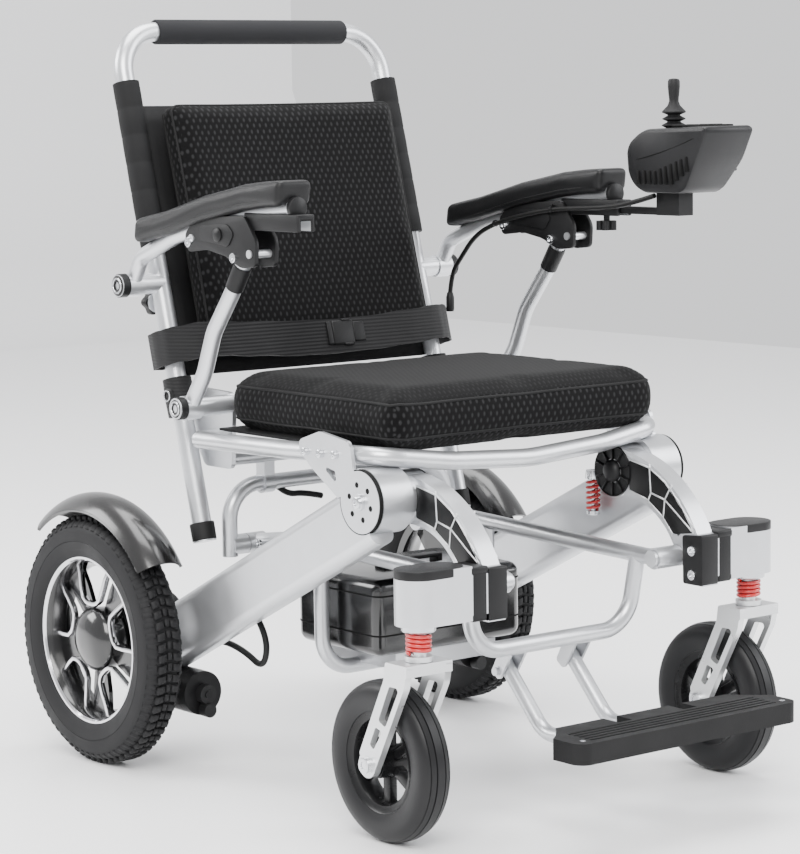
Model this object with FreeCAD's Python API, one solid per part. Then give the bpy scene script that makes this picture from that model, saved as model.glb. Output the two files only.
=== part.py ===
"""Folding power wheelchair, modelled piece by piece in millimetres.

The chair faces -Y, +Z is up and +X is the sitter's left. Side views below are
written as (y, z) with the rear axle at y = REAR_AXLE_Y; save() moves every
piece so that the middle of the chair's length stands over the origin.
Pieces that exist on both sides are made on the left and mirrored.
"""
import FreeCAD
import Part
import math
import os

V = FreeCAD.Vector

# ---- driving dimensions -------------------------------------------------
SEAT_RAIL_X = 222.0             # the whole chair's width follows this size
REAR_TYRE_RADIUS = 158.8        # 12 1/2 inch tyre
REAR_TYRE_WIDTH = 56.0
REAR_RIM_RADIUS = 107.0
REAR_WHEEL_X = SEAT_RAIL_X + 68            # middle of the tyre from the chair's middle
REAR_AXLE_Y = 250.0
REAR_AXLE_RADIUS = 10.0

CASTER_RADIUS = 93.5
CASTER_WIDTH = 41.0
CASTER_X = SEAT_RAIL_X + 37.3
SWIVEL_Y = -360.5
CASTER_TRAIL = 55.0             # wheel axle behind the swivel axis
CASTER_AXLE_RADIUS = 6.0

HUB_Y = -230.3                  # folding hub, where beam, seat and leg meet
HUB_Z = 379.0
HUB_AXLE_RADIUS = 8.0
BEAM_SLOPE = 26.3               # degrees below the horizontal, towards the rear
BEAM_LENGTH = 468.0
BEAM_HEIGHT = 77.5
BEAM_RISE = 25.0                # top face above the line through the hub
BEAM_OUTER_X = SEAT_RAIL_X + 17
BEAM_THICKNESS = 34.0

SEAT_RAIL_RADIUS = 11.0
SEAT_CUSHION_HALF_WIDTH = SEAT_RAIL_X - 7
SEAT_CUSHION_TOP = 502.0
SEAT_CUSHION_FRONT = -262.0
SEAT_CUSHION_REAR = 82.0

BACK_POST_X = SEAT_RAIL_X - 14
BACK_TUBE_RADIUS = 12.5
BACK_RECLINE = 15.2             # degrees from the vertical
BACK_FOOT_Y = 131.0
BACK_FOOT_Z = 289.3
HANDLE_Z = 927.0
BACK_HINGE_Z = 470.0
GRIP_HALF_LENGTH = BACK_POST_X - 57

ARM_X = SEAT_RAIL_X + 28
ARM_TUBE_RADIUS = 10.0
EYE_HALF = 11.0                 # half width of the eyes on the arm and its support
ARM_PIVOT_Z = 609.5
ARM_PAD_WIDTH = 50.0
ARM_PAD_THICKNESS = 30.0
SUPPORT_Y = 95.0                # lower pivot of the arm support
SUPPORT_Z = 464.0

LINK_X = SEAT_RAIL_X - 88            # side tubes of the underframe
LINK_RADIUS = 10.0
LOBE_Y = -343.0                 # front pivot of the underframe, on the legs
LOBE_Z = 287.0
HOOP_X = SEAT_RAIL_X - 47
HOOP_Y = 123.0
HOOP_TOP_Z = 356.0
HOOP_PIN_Z = 281.0
HOOP_RADIUS = 10.0

BATTERY_HALF_WIDTH = LINK_X - 18
BATTERY_FRONT = -103.0
BATTERY_REAR = 66.0
BATTERY_BOTTOM = 160.0
BATTERY_TOP = 256.0

FOOTPLATE_HALF_WIDTH = SEAT_RAIL_X - 51
FOOTPLATE_FRONT = -531.0
FOOTPLATE_REAR = -447.0
FOOTPLATE_TOP = 136.0
FOOTPLATE_THICKNESS = 24.0
FOOT_HINGE_Y = -460.0
FOOT_HINGE_Z = 119.0
STEM_X = 51.0
STEM_RADIUS = 9.0

BOX_WIDTH = 84.0                # controller housing
STICK_Y = -241.0
STICK_PIVOT_Z = 785.0

RUNNING = 0.05                  # radial clearance of every turning fit
SIDE_GAP = 0.5                  # faces that turn past each other

# ---- sizes worked out from the ones above --------------------------------
REAR_AXLE_Z = REAR_TYRE_RADIUS
CASTER_AXLE_Y = SWIVEL_Y + CASTER_TRAIL
TYRE_OUTER_X = REAR_WHEEL_X + REAR_TYRE_WIDTH / 2
BEAM_INNER_X = BEAM_OUTER_X - BEAM_THICKNESS
RECLINE = math.radians(BACK_RECLINE)
CHAIR_REAR = REAR_AXLE_Y + REAR_TYRE_RADIUS
SHIFT_Y = -(CHAIR_REAR + FOOTPLATE_FRONT) / 2


def post_y(z):
    """Y of the back posts' centre line at a height."""
    return BACK_FOOT_Y + (z - BACK_FOOT_Z) * math.tan(RECLINE)


BACK_HINGE_Y = post_y(BACK_HINGE_Z)
ARM_PIVOT_Y = post_y(ARM_PIVOT_Z)


# ---- shape helpers --------------------------------------------------------
def block(x0, x1, y0, y1, z0, z1):
    return Part.makeBox(x1 - x0, y1 - y0, z1 - z0, V(x0, y0, z0))


def rod(radius, start, end):
    start, end = V(*start), V(*end)
    return Part.makeCylinder(radius, (end - start).Length, start, end - start)


def rod_x(radius, x0, x1, y, z):
    return rod(radius, (x0, y, z), (x1, y, z))


def rod_z(radius, x, y, z0, z1):
    return rod(radius, (x, y, z0), (x, y, z1))


def rounded_path(points, radii, closed=False):
    """Straight runs between points, joined by tangent arcs of the given radii."""
    points = [V(*p) for p in points]
    count = len(points)
    starts, ends, arcs = [], [], []
    for i, corner in enumerate(points):
        if not closed and i in (0, count - 1):
            starts.append(corner)
            ends.append(corner)
            arcs.append(None)
            continue
        before = (points[i - 1] - corner).normalize()
        after = (points[(i + 1) % count] - corner).normalize()
        half = before.getAngle(after) / 2
        radius = radii[i]
        reach = radius / math.tan(half)
        middle = (before + after).normalize() * (radius / math.sin(half) - radius)
        starts.append(corner + before * reach)
        ends.append(corner + after * reach)
        arcs.append(corner + middle)
    edges = []
    for i in range(count):
        if arcs[i] is not None:
            edges.append(Part.Arc(starts[i], arcs[i], ends[i]).toShape())
        if i < count - 1 or closed:
            run_end = starts[(i + 1) % count]
            if (run_end - ends[i]).Length > 1e-6:
                edges.append(Part.LineSegment(ends[i], run_end).toShape())
    return Part.Wire(edges)


def tube(points, radius, bend):
    """Round bar along a path; bend is one radius or a list, one per point."""
    radii = bend if isinstance(bend, list) else [bend] * len(points)
    path = rounded_path(points, radii)
    start, heading = V(*points[0]), V(*points[1]) - V(*points[0])
    section = Part.Wire([Part.makeCircle(radius, start, heading)])
    return path.makePipeShell([section], True, False)


def side_plate(outline, radius, x0, x1):
    """Plate across X whose (y, z) outline has rounded corners."""
    radii = radius if isinstance(radius, list) else [radius] * len(outline)
    wire = rounded_path([(x0, y, z) for y, z in outline], radii, closed=True)
    return Part.Face(wire).extrude(V(x1 - x0, 0, 0))


def flat_plate(outline, radius, z0, z1):
    """Plate across Z whose (x, y) outline has rounded corners."""
    wire = rounded_path([(x, y, z0) for x, y in outline], [radius] * len(outline), closed=True)
    return Part.Face(wire).extrude(V(0, 0, z1 - z0))


def turned_x(profile, y, z):
    """Solid of revolution about an X axis through (y, z); profile is (radius, x)."""
    points = [V(x, y, z + radius) for radius, x in profile]
    wire = Part.makePolygon(points + points[:1])
    return Part.Face(wire).revolve(V(0, y, z), V(1, 0, 0), 360)


def turned_z(profile, x, y):
    """Solid of revolution about a vertical axis; profile is (radius, z)."""
    points = [V(x + radius, y, z) for radius, z in profile]
    wire = Part.makePolygon(points + points[:1])
    return Part.Face(wire).revolve(V(x, y, 0), V(0, 0, 1), 360)


def joined(*shapes):
    return shapes[0].multiFuse(list(shapes[1:])).removeSplitter()


def mirrored(shape):
    return shape.mirror(V(0, 0, 0), V(1, 0, 0))


def softened(shape, radius, edges):
    return shape.makeFillet(radius, edges)


def edges_along(shape, axis, longer_than=5.0):
    """Straight edges parallel to an axis."""
    found = []
    for edge in shape.Edges:
        if edge.Curve.TypeId == "Part::GeomLine" and edge.Length > longer_than:
            heading = edge.tangentAt(edge.FirstParameter)
            if abs(abs(heading.dot(axis)) - 1) < 1e-6:
                found.append(edge)
    return found


def reclined(shape):
    """Tips a piece built upright on the post's foot back by the recline."""
    shape.rotate(V(0, BACK_FOOT_Y, BACK_FOOT_Z), V(1, 0, 0), -BACK_RECLINE)
    return shape


def up_post(z):
    """Distance along the post at which it reaches a height."""
    return BACK_FOOT_Z + (z - BACK_FOOT_Z) / math.cos(RECLINE)


def save(name, shape):
    shape = shape.copy()
    shape.translate(V(0, SHIFT_Y, 0))
    solids = shape.Solids
    if not solids or not shape.isValid():
        raise ValueError("bad solid: " + name)
    if len(solids) == 1:
        shape = solids[0]
    shape.exportStep("parts/" + name + ".step")
    print(name, len(solids), round(shape.Volume))


def save_pair(name, left):
    save(name + "_left", left)
    save(name + "_right", mirrored(left))


# ---- seat frame and beams: the body that everything hangs on --------------
HUB_CLEAR = 1.5                 # dark gap round the hub plate
PLATE_THICKNESS = 5.0
PLATE_RADIUS = 36.5
BARREL_RADIUS = 39.0
BARREL_INNER_X = SEAT_RAIL_X - 32
SEAT_BOLTS = [(-128.0, 429.0), (-157.0, 429.0), (-185.0, 430.0)]


def hub_plate_blank(grow):
    """Disc on the hub with a lobe that reaches up to the seat rail."""
    x0 = BEAM_OUTER_X - PLATE_THICKNESS
    lobe = [
        (-106.0 + grow, 439.0),
        (-133.0, 414.0 - grow),
        (-188.0 + grow, 380.0 - grow),
        (-238.0 - grow, 398.0),
        (-218.0 - grow, 416.0),
        (-212.0 - grow, 447.0 + grow),
        (-155.0, 455.0 + grow),
    ]
    plate = side_plate(lobe, [9.0, 8.0, 2.0, 2.0, 8.0, 12.0, 20.0], x0, BEAM_OUTER_X)
    disc = rod_x(PLATE_RADIUS + grow, x0, BEAM_OUTER_X, HUB_Y, HUB_Z)
    return joined(disc, plate)


def hub_plate():
    x0 = BEAM_OUTER_X - PLATE_THICKNESS - 1
    x1 = BEAM_OUTER_X + 1
    plate = hub_plate_blank(0.0)
    plate = plate.cut(side_plate([(-158, 416), (-184, 411), (-187, 396)], 2.5, x0, x1))
    plate = plate.cut(rod_x(HUB_AXLE_RADIUS, x0, x1, HUB_Y, HUB_Z))
    hole_radius, ring_radius, holes = 3.5, 20.5, 6
    for i in range(holes):
        turn = math.radians(15 + i * 360 / holes)
        y = HUB_Y + ring_radius * math.cos(turn)
        z = HUB_Z + ring_radius * math.sin(turn)
        plate = plate.cut(rod_x(hole_radius, x0, x1, y, z))
    bolt_radius, bolt_height = 4.5, 2.5
    for y, z in SEAT_BOLTS:
        plate = joined(plate, rod_x(bolt_radius, BEAM_OUTER_X - 1, BEAM_OUTER_X + bolt_height, y, z))
    return plate


def main_beam():
    """Rounded bar from the hub down to the motor, with a barrel at the hub."""
    corner = 13.0
    low = HUB_Z + BEAM_RISE - BEAM_HEIGHT
    high = HUB_Z + BEAM_RISE
    bar = block(BEAM_INNER_X, BEAM_OUTER_X, HUB_Y, HUB_Y + BEAM_LENGTH, low, high)
    bar = softened(bar, corner, edges_along(bar, V(0, 1, 0)))
    bar.rotate(V(0, HUB_Y, HUB_Z), V(1, 0, 0), -BEAM_SLOPE)
    recess_x = BEAM_OUTER_X - PLATE_THICKNESS
    barrel = rod_x(BARREL_RADIUS, BARREL_INNER_X, recess_x, HUB_Y, HUB_Z)
    beam = joined(bar, barrel)
    beam = beam.cut(hub_plate_blank(HUB_CLEAR))
    beam = beam.cut(rod_x(HUB_AXLE_RADIUS, BARREL_INNER_X - 1, BEAM_OUTER_X, HUB_Y, HUB_Z))
    return beam.cut(motor_housing_blank())


LEG_INNER_X = SEAT_RAIL_X - 67
AXLE_HEAD_RADIUS = 12.0


def hub_axle():
    """Shaft that the front leg turns on, with a head at each end."""
    head_inner = LEG_INNER_X - SIDE_GAP
    shaft = rod_x(HUB_AXLE_RADIUS, head_inner, BEAM_OUTER_X, HUB_Y, HUB_Z)
    inner = rod_x(AXLE_HEAD_RADIUS, head_inner - 5, head_inner, HUB_Y, HUB_Z)
    outer = rod_x(AXLE_HEAD_RADIUS - 2, BEAM_OUTER_X, BEAM_OUTER_X + 4, HUB_Y, HUB_Z)
    return joined(shaft, inner, outer)


SEAT_TUBE_REAR = 118.0


def seat_tube():
    """Side rails and bowed front bar, bent from one tube."""
    x = SEAT_RAIL_X
    half = [
        (x, SEAT_TUBE_REAR, 420.0),
        (x, -70.0, 424.0),
        (x, -240.0, 432.0),
        (120.0, -247.0, 418.0),
    ]
    other = [(-px, y, z) for px, y, z in reversed(half)]
    middle = [(0.0, -250.0, 411.0)]
    return tube(half + middle + other, SEAT_RAIL_RADIUS, [0, 300, 38, 200, 300, 200, 38, 300, 0])


REAR_TUBE_Y = 120.0
REAR_TUBE_Z = 392.0
REAR_TUBE_RADIUS = 10.0
BRACKET_X = SEAT_RAIL_X - 36
BRACKET_THICKNESS = 6.0
HANGER_X = LINK_X - 24
HANGER_WIDTH = 16.0
HANGER_RADIUS = 13.5
PIVOT_PIN_RADIUS = 8.0


def rear_cross_frame(seat):
    """Rear cross tube, its end brackets, their pivot pins and the hoop's hangers."""
    bracket_outer = BRACKET_X + BRACKET_THICKNESS
    tube_bar = rod_x(REAR_TUBE_RADIUS, -bracket_outer, bracket_outer, REAR_TUBE_Y, REAR_TUBE_Z)
    outline = [(92.0, 382.0), (150.0, 382.0), (196.0, 452.0), (194.0, 482.0), (86.0, 478.0)]
    pieces = [tube_bar]
    for side in (1, -1):
        plate = side_plate(outline, [8, 12, 14, 12, 12], BRACKET_X, bracket_outer)
        rail_block = block(bracket_outer - 1, SEAT_RAIL_X, 92, SEAT_TUBE_REAR, 411, 431)
        hinge = rod_x(PIVOT_PIN_RADIUS, bracket_outer - 1, BACK_POST_X + 16, BACK_HINGE_Y, BACK_HINGE_Z)
        pivot = rod_x(PIVOT_PIN_RADIUS, bracket_outer - 1, ARM_X + 20, SUPPORT_Y, SUPPORT_Z)
        spacer_end = ARM_X - EYE_HALF - SIDE_GAP
        spacer = rod_x(12.0, bracket_outer - 1, spacer_end, SUPPORT_Y, SUPPORT_Z)
        cap = rod_x(13.0, ARM_X + EYE_HALF + SIDE_GAP, ARM_X + 22, SUPPORT_Y, SUPPORT_Z)
        hanger_end = HANGER_X + HANGER_WIDTH
        web = block(HANGER_X, hanger_end, HOOP_Y - 9, HOOP_Y + 9, HOOP_TOP_Z, REAR_TUBE_Z)
        hanger = rod_x(HANGER_RADIUS, HANGER_X, hanger_end, HOOP_Y, HOOP_TOP_Z)
        for piece in (plate, rail_block, hinge, pivot, spacer, cap, web, hanger):
            pieces.append(piece if side > 0 else mirrored(piece))
    frame = joined(*pieces)
    frame = frame.cut(rod_x(HOOP_RADIUS + RUNNING, -150, 150, HOOP_Y, HOOP_TOP_Z))
    return frame.cut(seat)


PAN_BOTTOM = 434.0
PAN_TOP = 437.0


def seat_pan(seat):
    """Fabric seat panel stretched over the rails."""
    x = SEAT_RAIL_X - 6
    panel = block(-x, x, SEAT_CUSHION_FRONT + 30, SEAT_CUSHION_REAR, PAN_BOTTOM, PAN_TOP)
    return panel.cut(seat)


def seat_cushion(seat):
    w = SEAT_CUSHION_HALF_WIDTH
    rounding = 26.0
    outline = [
        (-w, SEAT_CUSHION_FRONT),
        (w, SEAT_CUSHION_FRONT),
        (w, SEAT_CUSHION_REAR),
        (-w, SEAT_CUSHION_REAR),
    ]
    pad = flat_plate(outline, rounding, PAN_TOP, SEAT_CUSHION_TOP)
    top = [e for e in pad.Edges if min(v.Z for v in e.Vertexes) > SEAT_CUSHION_TOP - 1]
    pad = softened(pad, 14.0, top)
    return pad.cut(seat)


MOTOR_RADIUS = 50.0
MOTOR_INNER_X = REAR_WHEEL_X - 102
MOTOR_OUTER_X = REAR_WHEEL_X - 38
CAN_RADIUS = 28.0
CAN_X = REAR_WHEEL_X - 68
CAN_Z = 98.0
CAN_FRONT_Y = 122.0
LEVER_PIN_RADIUS = 5.0
LEVER_REACH = 20.0              # drop from the boss to the finger knob


def motor_housing_blank():
    return rod_x(MOTOR_RADIUS, MOTOR_INNER_X, MOTOR_OUTER_X, REAR_AXLE_Y, REAR_AXLE_Z)


def motor(beam):
    """Gear housing at the axle, motor can under the beam and the output shaft."""
    can = rod(CAN_RADIUS, (CAN_X, CAN_FRONT_Y, CAN_Z), (CAN_X, REAR_AXLE_Y - 15, CAN_Z))
    shaft = rod_x(REAR_AXLE_RADIUS, MOTOR_OUTER_X, REAR_WHEEL_X + 14, REAR_AXLE_Y, REAR_AXLE_Z)
    pin = rod(LEVER_PIN_RADIUS, (CAN_X, CAN_FRONT_Y - 14, CAN_Z), (CAN_X, CAN_FRONT_Y, CAN_Z))
    collar = rod_x(MOTOR_RADIUS - 14, MOTOR_OUTER_X, MOTOR_OUTER_X + 5, REAR_AXLE_Y, REAR_AXLE_Z)
    return joined(motor_housing_blank(), can, shaft, pin, collar).cut(beam)


def freewheel_lever():
    """Brake release: a boss on the motor's pin with a short handle."""
    y1 = CAN_FRONT_Y - SIDE_GAP
    y0 = y1 - 12
    boss = rod(12.0, (CAN_X, y0, CAN_Z), (CAN_X, y1, CAN_Z))
    tip = CAN_Z - LEVER_REACH
    handle = block(CAN_X - 6, CAN_X + 6, y0, y0 + 9, tip, CAN_Z)
    knob = rod(9.0, (CAN_X, y0 - 4, tip), (CAN_X, y0 + 10, tip))
    bore = rod(LEVER_PIN_RADIUS + RUNNING, (CAN_X, y0 - 5, CAN_Z), (CAN_X, y1 + 1, CAN_Z))
    return joined(boss, handle, knob).cut(bore)


CABLE_RADIUS = 4.0
CABLE_X = BEAM_INNER_X - 8


def motor_cable():
    """Lead from the gear housing, looping below the beam and up to its side."""
    route = [
        (CABLE_X, REAR_AXLE_Y - 48, 160.0),
        (CABLE_X, 160.0, 156.0),
        (CABLE_X, 108.0, 164.0),
        (CABLE_X, 62.0, 156.0),
        (CABLE_X, 26.0, 140.0),
        (CABLE_X, 14.0, 172.0),
        (CABLE_X, 36.0, 206.0),
        (CABLE_X, 66.0, 226.0),
    ]
    return tube(route, CABLE_RADIUS, cord_bends(route)).cut(motor_housing_blank())


def cord_bends(route):
    """Each arc as large as its two runs allow."""
    points = [V(*p) for p in route]
    bends = [0.0]
    for a, b, c in zip(points, points[1:], points[2:]):
        turn = (b - a).getAngle(c - b)
        shorter = min((b - a).Length, (c - b).Length)
        bends.append(0.45 * shorter / math.tan(turn / 2))
    bends.append(0.0)
    return bends


FENDER_RADIUS = 187.0
FENDER_THICKNESS = 3.0
FENDER_FRONT_ANGLE = 142.0
FENDER_REAR_ANGLE = 52.0
WALL_ANGLES = (78.0, 118.0)


def fender():
    """Arched mudguard over the tyre, held by a side plate on the gear housing."""
    inner_x, outer_x = MOTOR_OUTER_X + 1, TYRE_OUTER_X
    drop_inner, drop_outer = 16.0, 20.0

    def crown(radius_less):
        ends = [(inner_x + radius_less, FENDER_RADIUS - drop_inner - radius_less)]
        mid = (REAR_WHEEL_X - 4, FENDER_RADIUS - radius_less)
        ends.append((outer_x - radius_less, FENDER_RADIUS - drop_outer - radius_less))
        at = [V(x, REAR_AXLE_Y, REAR_AXLE_Z + r) for x, r in (ends[0], mid, ends[1])]
        return Part.Arc(*at).toShape(), at[0], at[2]

    outer, a0, a1 = crown(0.0)
    inner, b0, b1 = crown(FENDER_THICKNESS)
    edges = [outer, Part.LineSegment(a1, b1).toShape(), inner, Part.LineSegment(b0, a0).toShape()]
    section = Part.Face(Part.Wire(Part.__sortEdges__(edges)))
    axle = V(0, REAR_AXLE_Y, REAR_AXLE_Z)
    span = FENDER_FRONT_ANGLE - FENDER_REAR_ANGLE
    reach = FENDER_RADIUS * 2
    section.rotate(axle, V(1, 0, 0), FENDER_REAR_ANGLE - 90)
    shell = section.revolve(axle, V(1, 0, 0), span)
    wedge = [(REAR_AXLE_Y, REAR_AXLE_Z)]
    for angle in WALL_ANGLES:
        turn = math.radians(angle)
        wedge.append((REAR_AXLE_Y + reach * math.cos(turn), REAR_AXLE_Z + reach * math.sin(turn)))
    wall_x = inner_x + FENDER_THICKNESS
    wall = rod_x(FENDER_RADIUS - drop_inner - 1, inner_x, wall_x, REAR_AXLE_Y, REAR_AXLE_Z)
    wall = wall.common(side_plate(wedge, 1.0, inner_x - 1, wall_x + 1))
    hole = rod_x(MOTOR_RADIUS - 14, inner_x - 1, wall_x + 1, REAR_AXLE_Y, REAR_AXLE_Z)
    return joined(shell, wall).cut(hole)


# ---- rear wheels ----------------------------------------------------------
def rear_tyre():
    x = REAR_WHEEL_X
    half = REAR_TYRE_WIDTH / 2
    bead = 19.0
    top = REAR_TYRE_RADIUS
    profile = [
        (REAR_RIM_RADIUS, x - bead),
        (REAR_RIM_RADIUS + 12, x - half + 1.5),
        (REAR_RIM_RADIUS + 24, x - half),
        (top - 10, x - half + 4),
        (top - 3, x - half + 11),
        (top, x - half + 20),
        (top, x + half - 20),
        (top - 3, x + half - 11),
        (top - 10, x + half - 4),
        (REAR_RIM_RADIUS + 24, x + half),
        (REAR_RIM_RADIUS + 12, x + half - 1.5),
        (REAR_RIM_RADIUS, x + bead),
    ]
    return turned_x(profile, REAR_AXLE_Y, REAR_AXLE_Z)


def rear_rim():
    """Cast rim: outer ring, eight looped spokes, hub and domed cap."""
    x = REAR_WHEEL_X
    ring_inner = REAR_RIM_RADIUS - 13
    hub_radius = 40.0
    ring = turned_x(
        [
            (ring_inner, x - 18),
            (REAR_RIM_RADIUS, x - 18),
            (REAR_RIM_RADIUS, x + 18),
            (ring_inner + 4, x + 18),
            (ring_inner, x + 12),
        ],
        REAR_AXLE_Y,
        REAR_AXLE_Z,
    )
    hub = turned_x(
        [
            (0, x - 20),
            (hub_radius, x - 20),
            (hub_radius, x + 12),
            (hub_radius - 6, x + 20),
            (hub_radius - 20, x + 25),
            (0, x + 26),
        ],
        REAR_AXLE_Y,
        REAR_AXLE_Z,
    )
    pieces = [ring, hub]
    spokes = 8
    for i in range(spokes):
        for lean in (-9, 9):
            bar = block(x, x + 10, REAR_AXLE_Y - 3.5, REAR_AXLE_Y + 3.5, 25, ring_inner + 4)
            bar.translate(V(0, 0, REAR_AXLE_Z))
            bar.rotate(V(0, REAR_AXLE_Y, REAR_AXLE_Z + 28), V(1, 0, 0), lean)
            bar.rotate(V(0, REAR_AXLE_Y, REAR_AXLE_Z), V(1, 0, 0), i * 360 / spokes + lean * 0.6)
            pieces.append(bar)
    wheel = joined(*pieces)
    envelope = rod_x(REAR_RIM_RADIUS, x - 30, x + 30, REAR_AXLE_Y, REAR_AXLE_Z)
    bore = rod_x(REAR_AXLE_RADIUS + RUNNING, x - 21, x + 14 + SIDE_GAP, REAR_AXLE_Y, REAR_AXLE_Z)
    return wheel.common(envelope).cut(bore)


# ---- front legs and casters -----------------------------------------------
LOBE_PIN_RADIUS = 6.0
LEG_BLADE_X = LEG_INNER_X + 25             # outer face of the leg's blade
HOUSING_INNER_X = LEG_INNER_X + 48
HOUSING_RADIUS = 27.0
HOUSING_BOTTOM = 258.0
HOUSING_TOP = 312.0
HOUSING_CAP_TOP = 320.0
COLLAR_BOTTOM = 252.0
STEM_BAR_RADIUS = 9.0
SUSPENSION_TRAVEL = 10.0
SPRING_BOTTOM = 223.0
FLANGE_BOTTOM = 217.0
FORK_TOP = 216.5
FORK_PIN_RADIUS = 8.0


def front_leg():
    """Curved blade from the hub to the caster housing, with the underframe's pin."""

    def at(y, z):
        return V(LEG_INNER_X, y, z)

    edges = [
        Part.Arc(at(-246.0, 407.0), at(-324.0, 378.0), at(-378.0, 316.0)).toShape(),
        Part.LineSegment(at(-378.0, 316.0), at(-387.5, 314.0)).toShape(),
        Part.LineSegment(at(-387.5, 314.0), at(-387.5, 254.0)).toShape(),
        Part.LineSegment(at(-387.5, 254.0), at(-357.0, 254.0)).toShape(),
        Part.LineSegment(at(-357.0, 254.0), at(-355.0, 272.0)).toShape(),
        Part.LineSegment(at(-355.0, 272.0), at(-338.0, 297.0)).toShape(),
        Part.Arc(at(-338.0, 297.0), at(-303.0, 335.0), at(-250.0, 350.0)).toShape(),
        Part.LineSegment(at(-250.0, 350.0), at(-246.0, 407.0)).toShape(),
    ]
    blade = Part.Face(Part.Wire(edges)).extrude(V(LEG_BLADE_X - LEG_INNER_X, 0, 0))
    hub_outer = BARREL_INNER_X - SIDE_GAP
    hub = rod_x(32.0, LEG_INNER_X, hub_outer, HUB_Y, HUB_Z)
    lobe = rod_x(13.0, LEG_INNER_X, LEG_BLADE_X, LOBE_Y, LOBE_Z)
    pin_end = LINK_X - 18
    pin = rod_x(LOBE_PIN_RADIUS, pin_end, LEG_INNER_X, LOBE_Y, LOBE_Z)
    head = rod_x(10.0, pin_end - 5, pin_end - SIDE_GAP, LOBE_Y, LOBE_Z)
    neck = rod_x(LOBE_PIN_RADIUS, pin_end - 5, pin_end, LOBE_Y, LOBE_Z)
    foot = block(LEG_BLADE_X, HOUSING_INNER_X, -387.5, -345.0, 264.0, 310.0)
    leg = joined(blade, hub, lobe, pin, head, neck, foot)
    bore = rod_x(HUB_AXLE_RADIUS + RUNNING, LEG_INNER_X - 1, hub_outer + 1, HUB_Y, HUB_Z)
    pocket = leg_pocket()
    return leg.cut(bore).cut(pocket)


def leg_pocket():
    """Shallow recess in the blade's inner face, framed by its rim."""

    def at(y, z):
        return V(LEG_INNER_X - 1, y, z)

    edges = [
        Part.Arc(at(-272.0, 394.0), at(-322.0, 371.0), at(-362.0, 326.0)).toShape(),
        Part.LineSegment(at(-362.0, 326.0), at(-345.0, 310.0)).toShape(),
        Part.Arc(at(-345.0, 310.0), at(-310.0, 341.0), at(-272.0, 354.0)).toShape(),
        Part.LineSegment(at(-272.0, 354.0), at(-272.0, 394.0)).toShape(),
    ]
    return Part.Face(Part.Wire(edges)).extrude(V(7.0, 0, 0))


def caster_housing():
    """Block with the swivel bearing, its cap and its lower collar."""
    y0, y1 = SWIVEL_Y - HOUSING_RADIUS, SWIVEL_Y + HOUSING_RADIUS
    body = block(HOUSING_INNER_X, CASTER_X, y0, y1, HOUSING_BOTTOM, HOUSING_TOP)
    barrel = rod_z(HOUSING_RADIUS, CASTER_X, SWIVEL_Y, HOUSING_BOTTOM, HOUSING_CAP_TOP)
    cap = block(HOUSING_INNER_X, CASTER_X, y0, y1, HOUSING_TOP, HOUSING_CAP_TOP)
    collar = rod_z(19.0, CASTER_X, SWIVEL_Y, COLLAR_BOTTOM, HOUSING_BOTTOM)
    bore_top = HOUSING_CAP_TOP - 3
    bore = rod_z(STEM_BAR_RADIUS + RUNNING, CASTER_X, SWIVEL_Y, COLLAR_BOTTOM - 1, bore_top)
    return joined(body, barrel, cap, collar).cut(bore)


def caster_stem():
    """Bar that slides up into the housing against the spring."""
    bar_top = HOUSING_CAP_TOP - 4 - SUSPENSION_TRAVEL
    bar = rod_z(STEM_BAR_RADIUS, CASTER_X, SWIVEL_Y, FLANGE_BOTTOM, bar_top)
    flange = rod_z(16.0, CASTER_X, SWIVEL_Y, FLANGE_BOTTOM, SPRING_BOTTOM)
    pin = rod_z(FORK_PIN_RADIUS, CASTER_X, SWIVEL_Y, FORK_TOP - 13, FLANGE_BOTTOM)
    return joined(bar, flange, pin)


def caster_spring():
    """Coil spring, as a ribbed sleeve."""
    inner, outer, groove = STEM_BAR_RADIUS + 1.0, 15.5, 13.0
    turns = 5
    pitch = (COLLAR_BOTTOM - SPRING_BOTTOM) / turns
    profile = [(inner, SPRING_BOTTOM)]
    for i in range(turns):
        base = SPRING_BOTTOM + i * pitch
        profile.append((groove, base))
        profile.append((outer, base + pitch * 0.25))
        profile.append((outer, base + pitch * 0.75))
    profile.append((groove, COLLAR_BOTTOM))
    profile.append((inner, COLLAR_BOTTOM))
    return turned_z(profile, CASTER_X, SWIVEL_Y)


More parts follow.
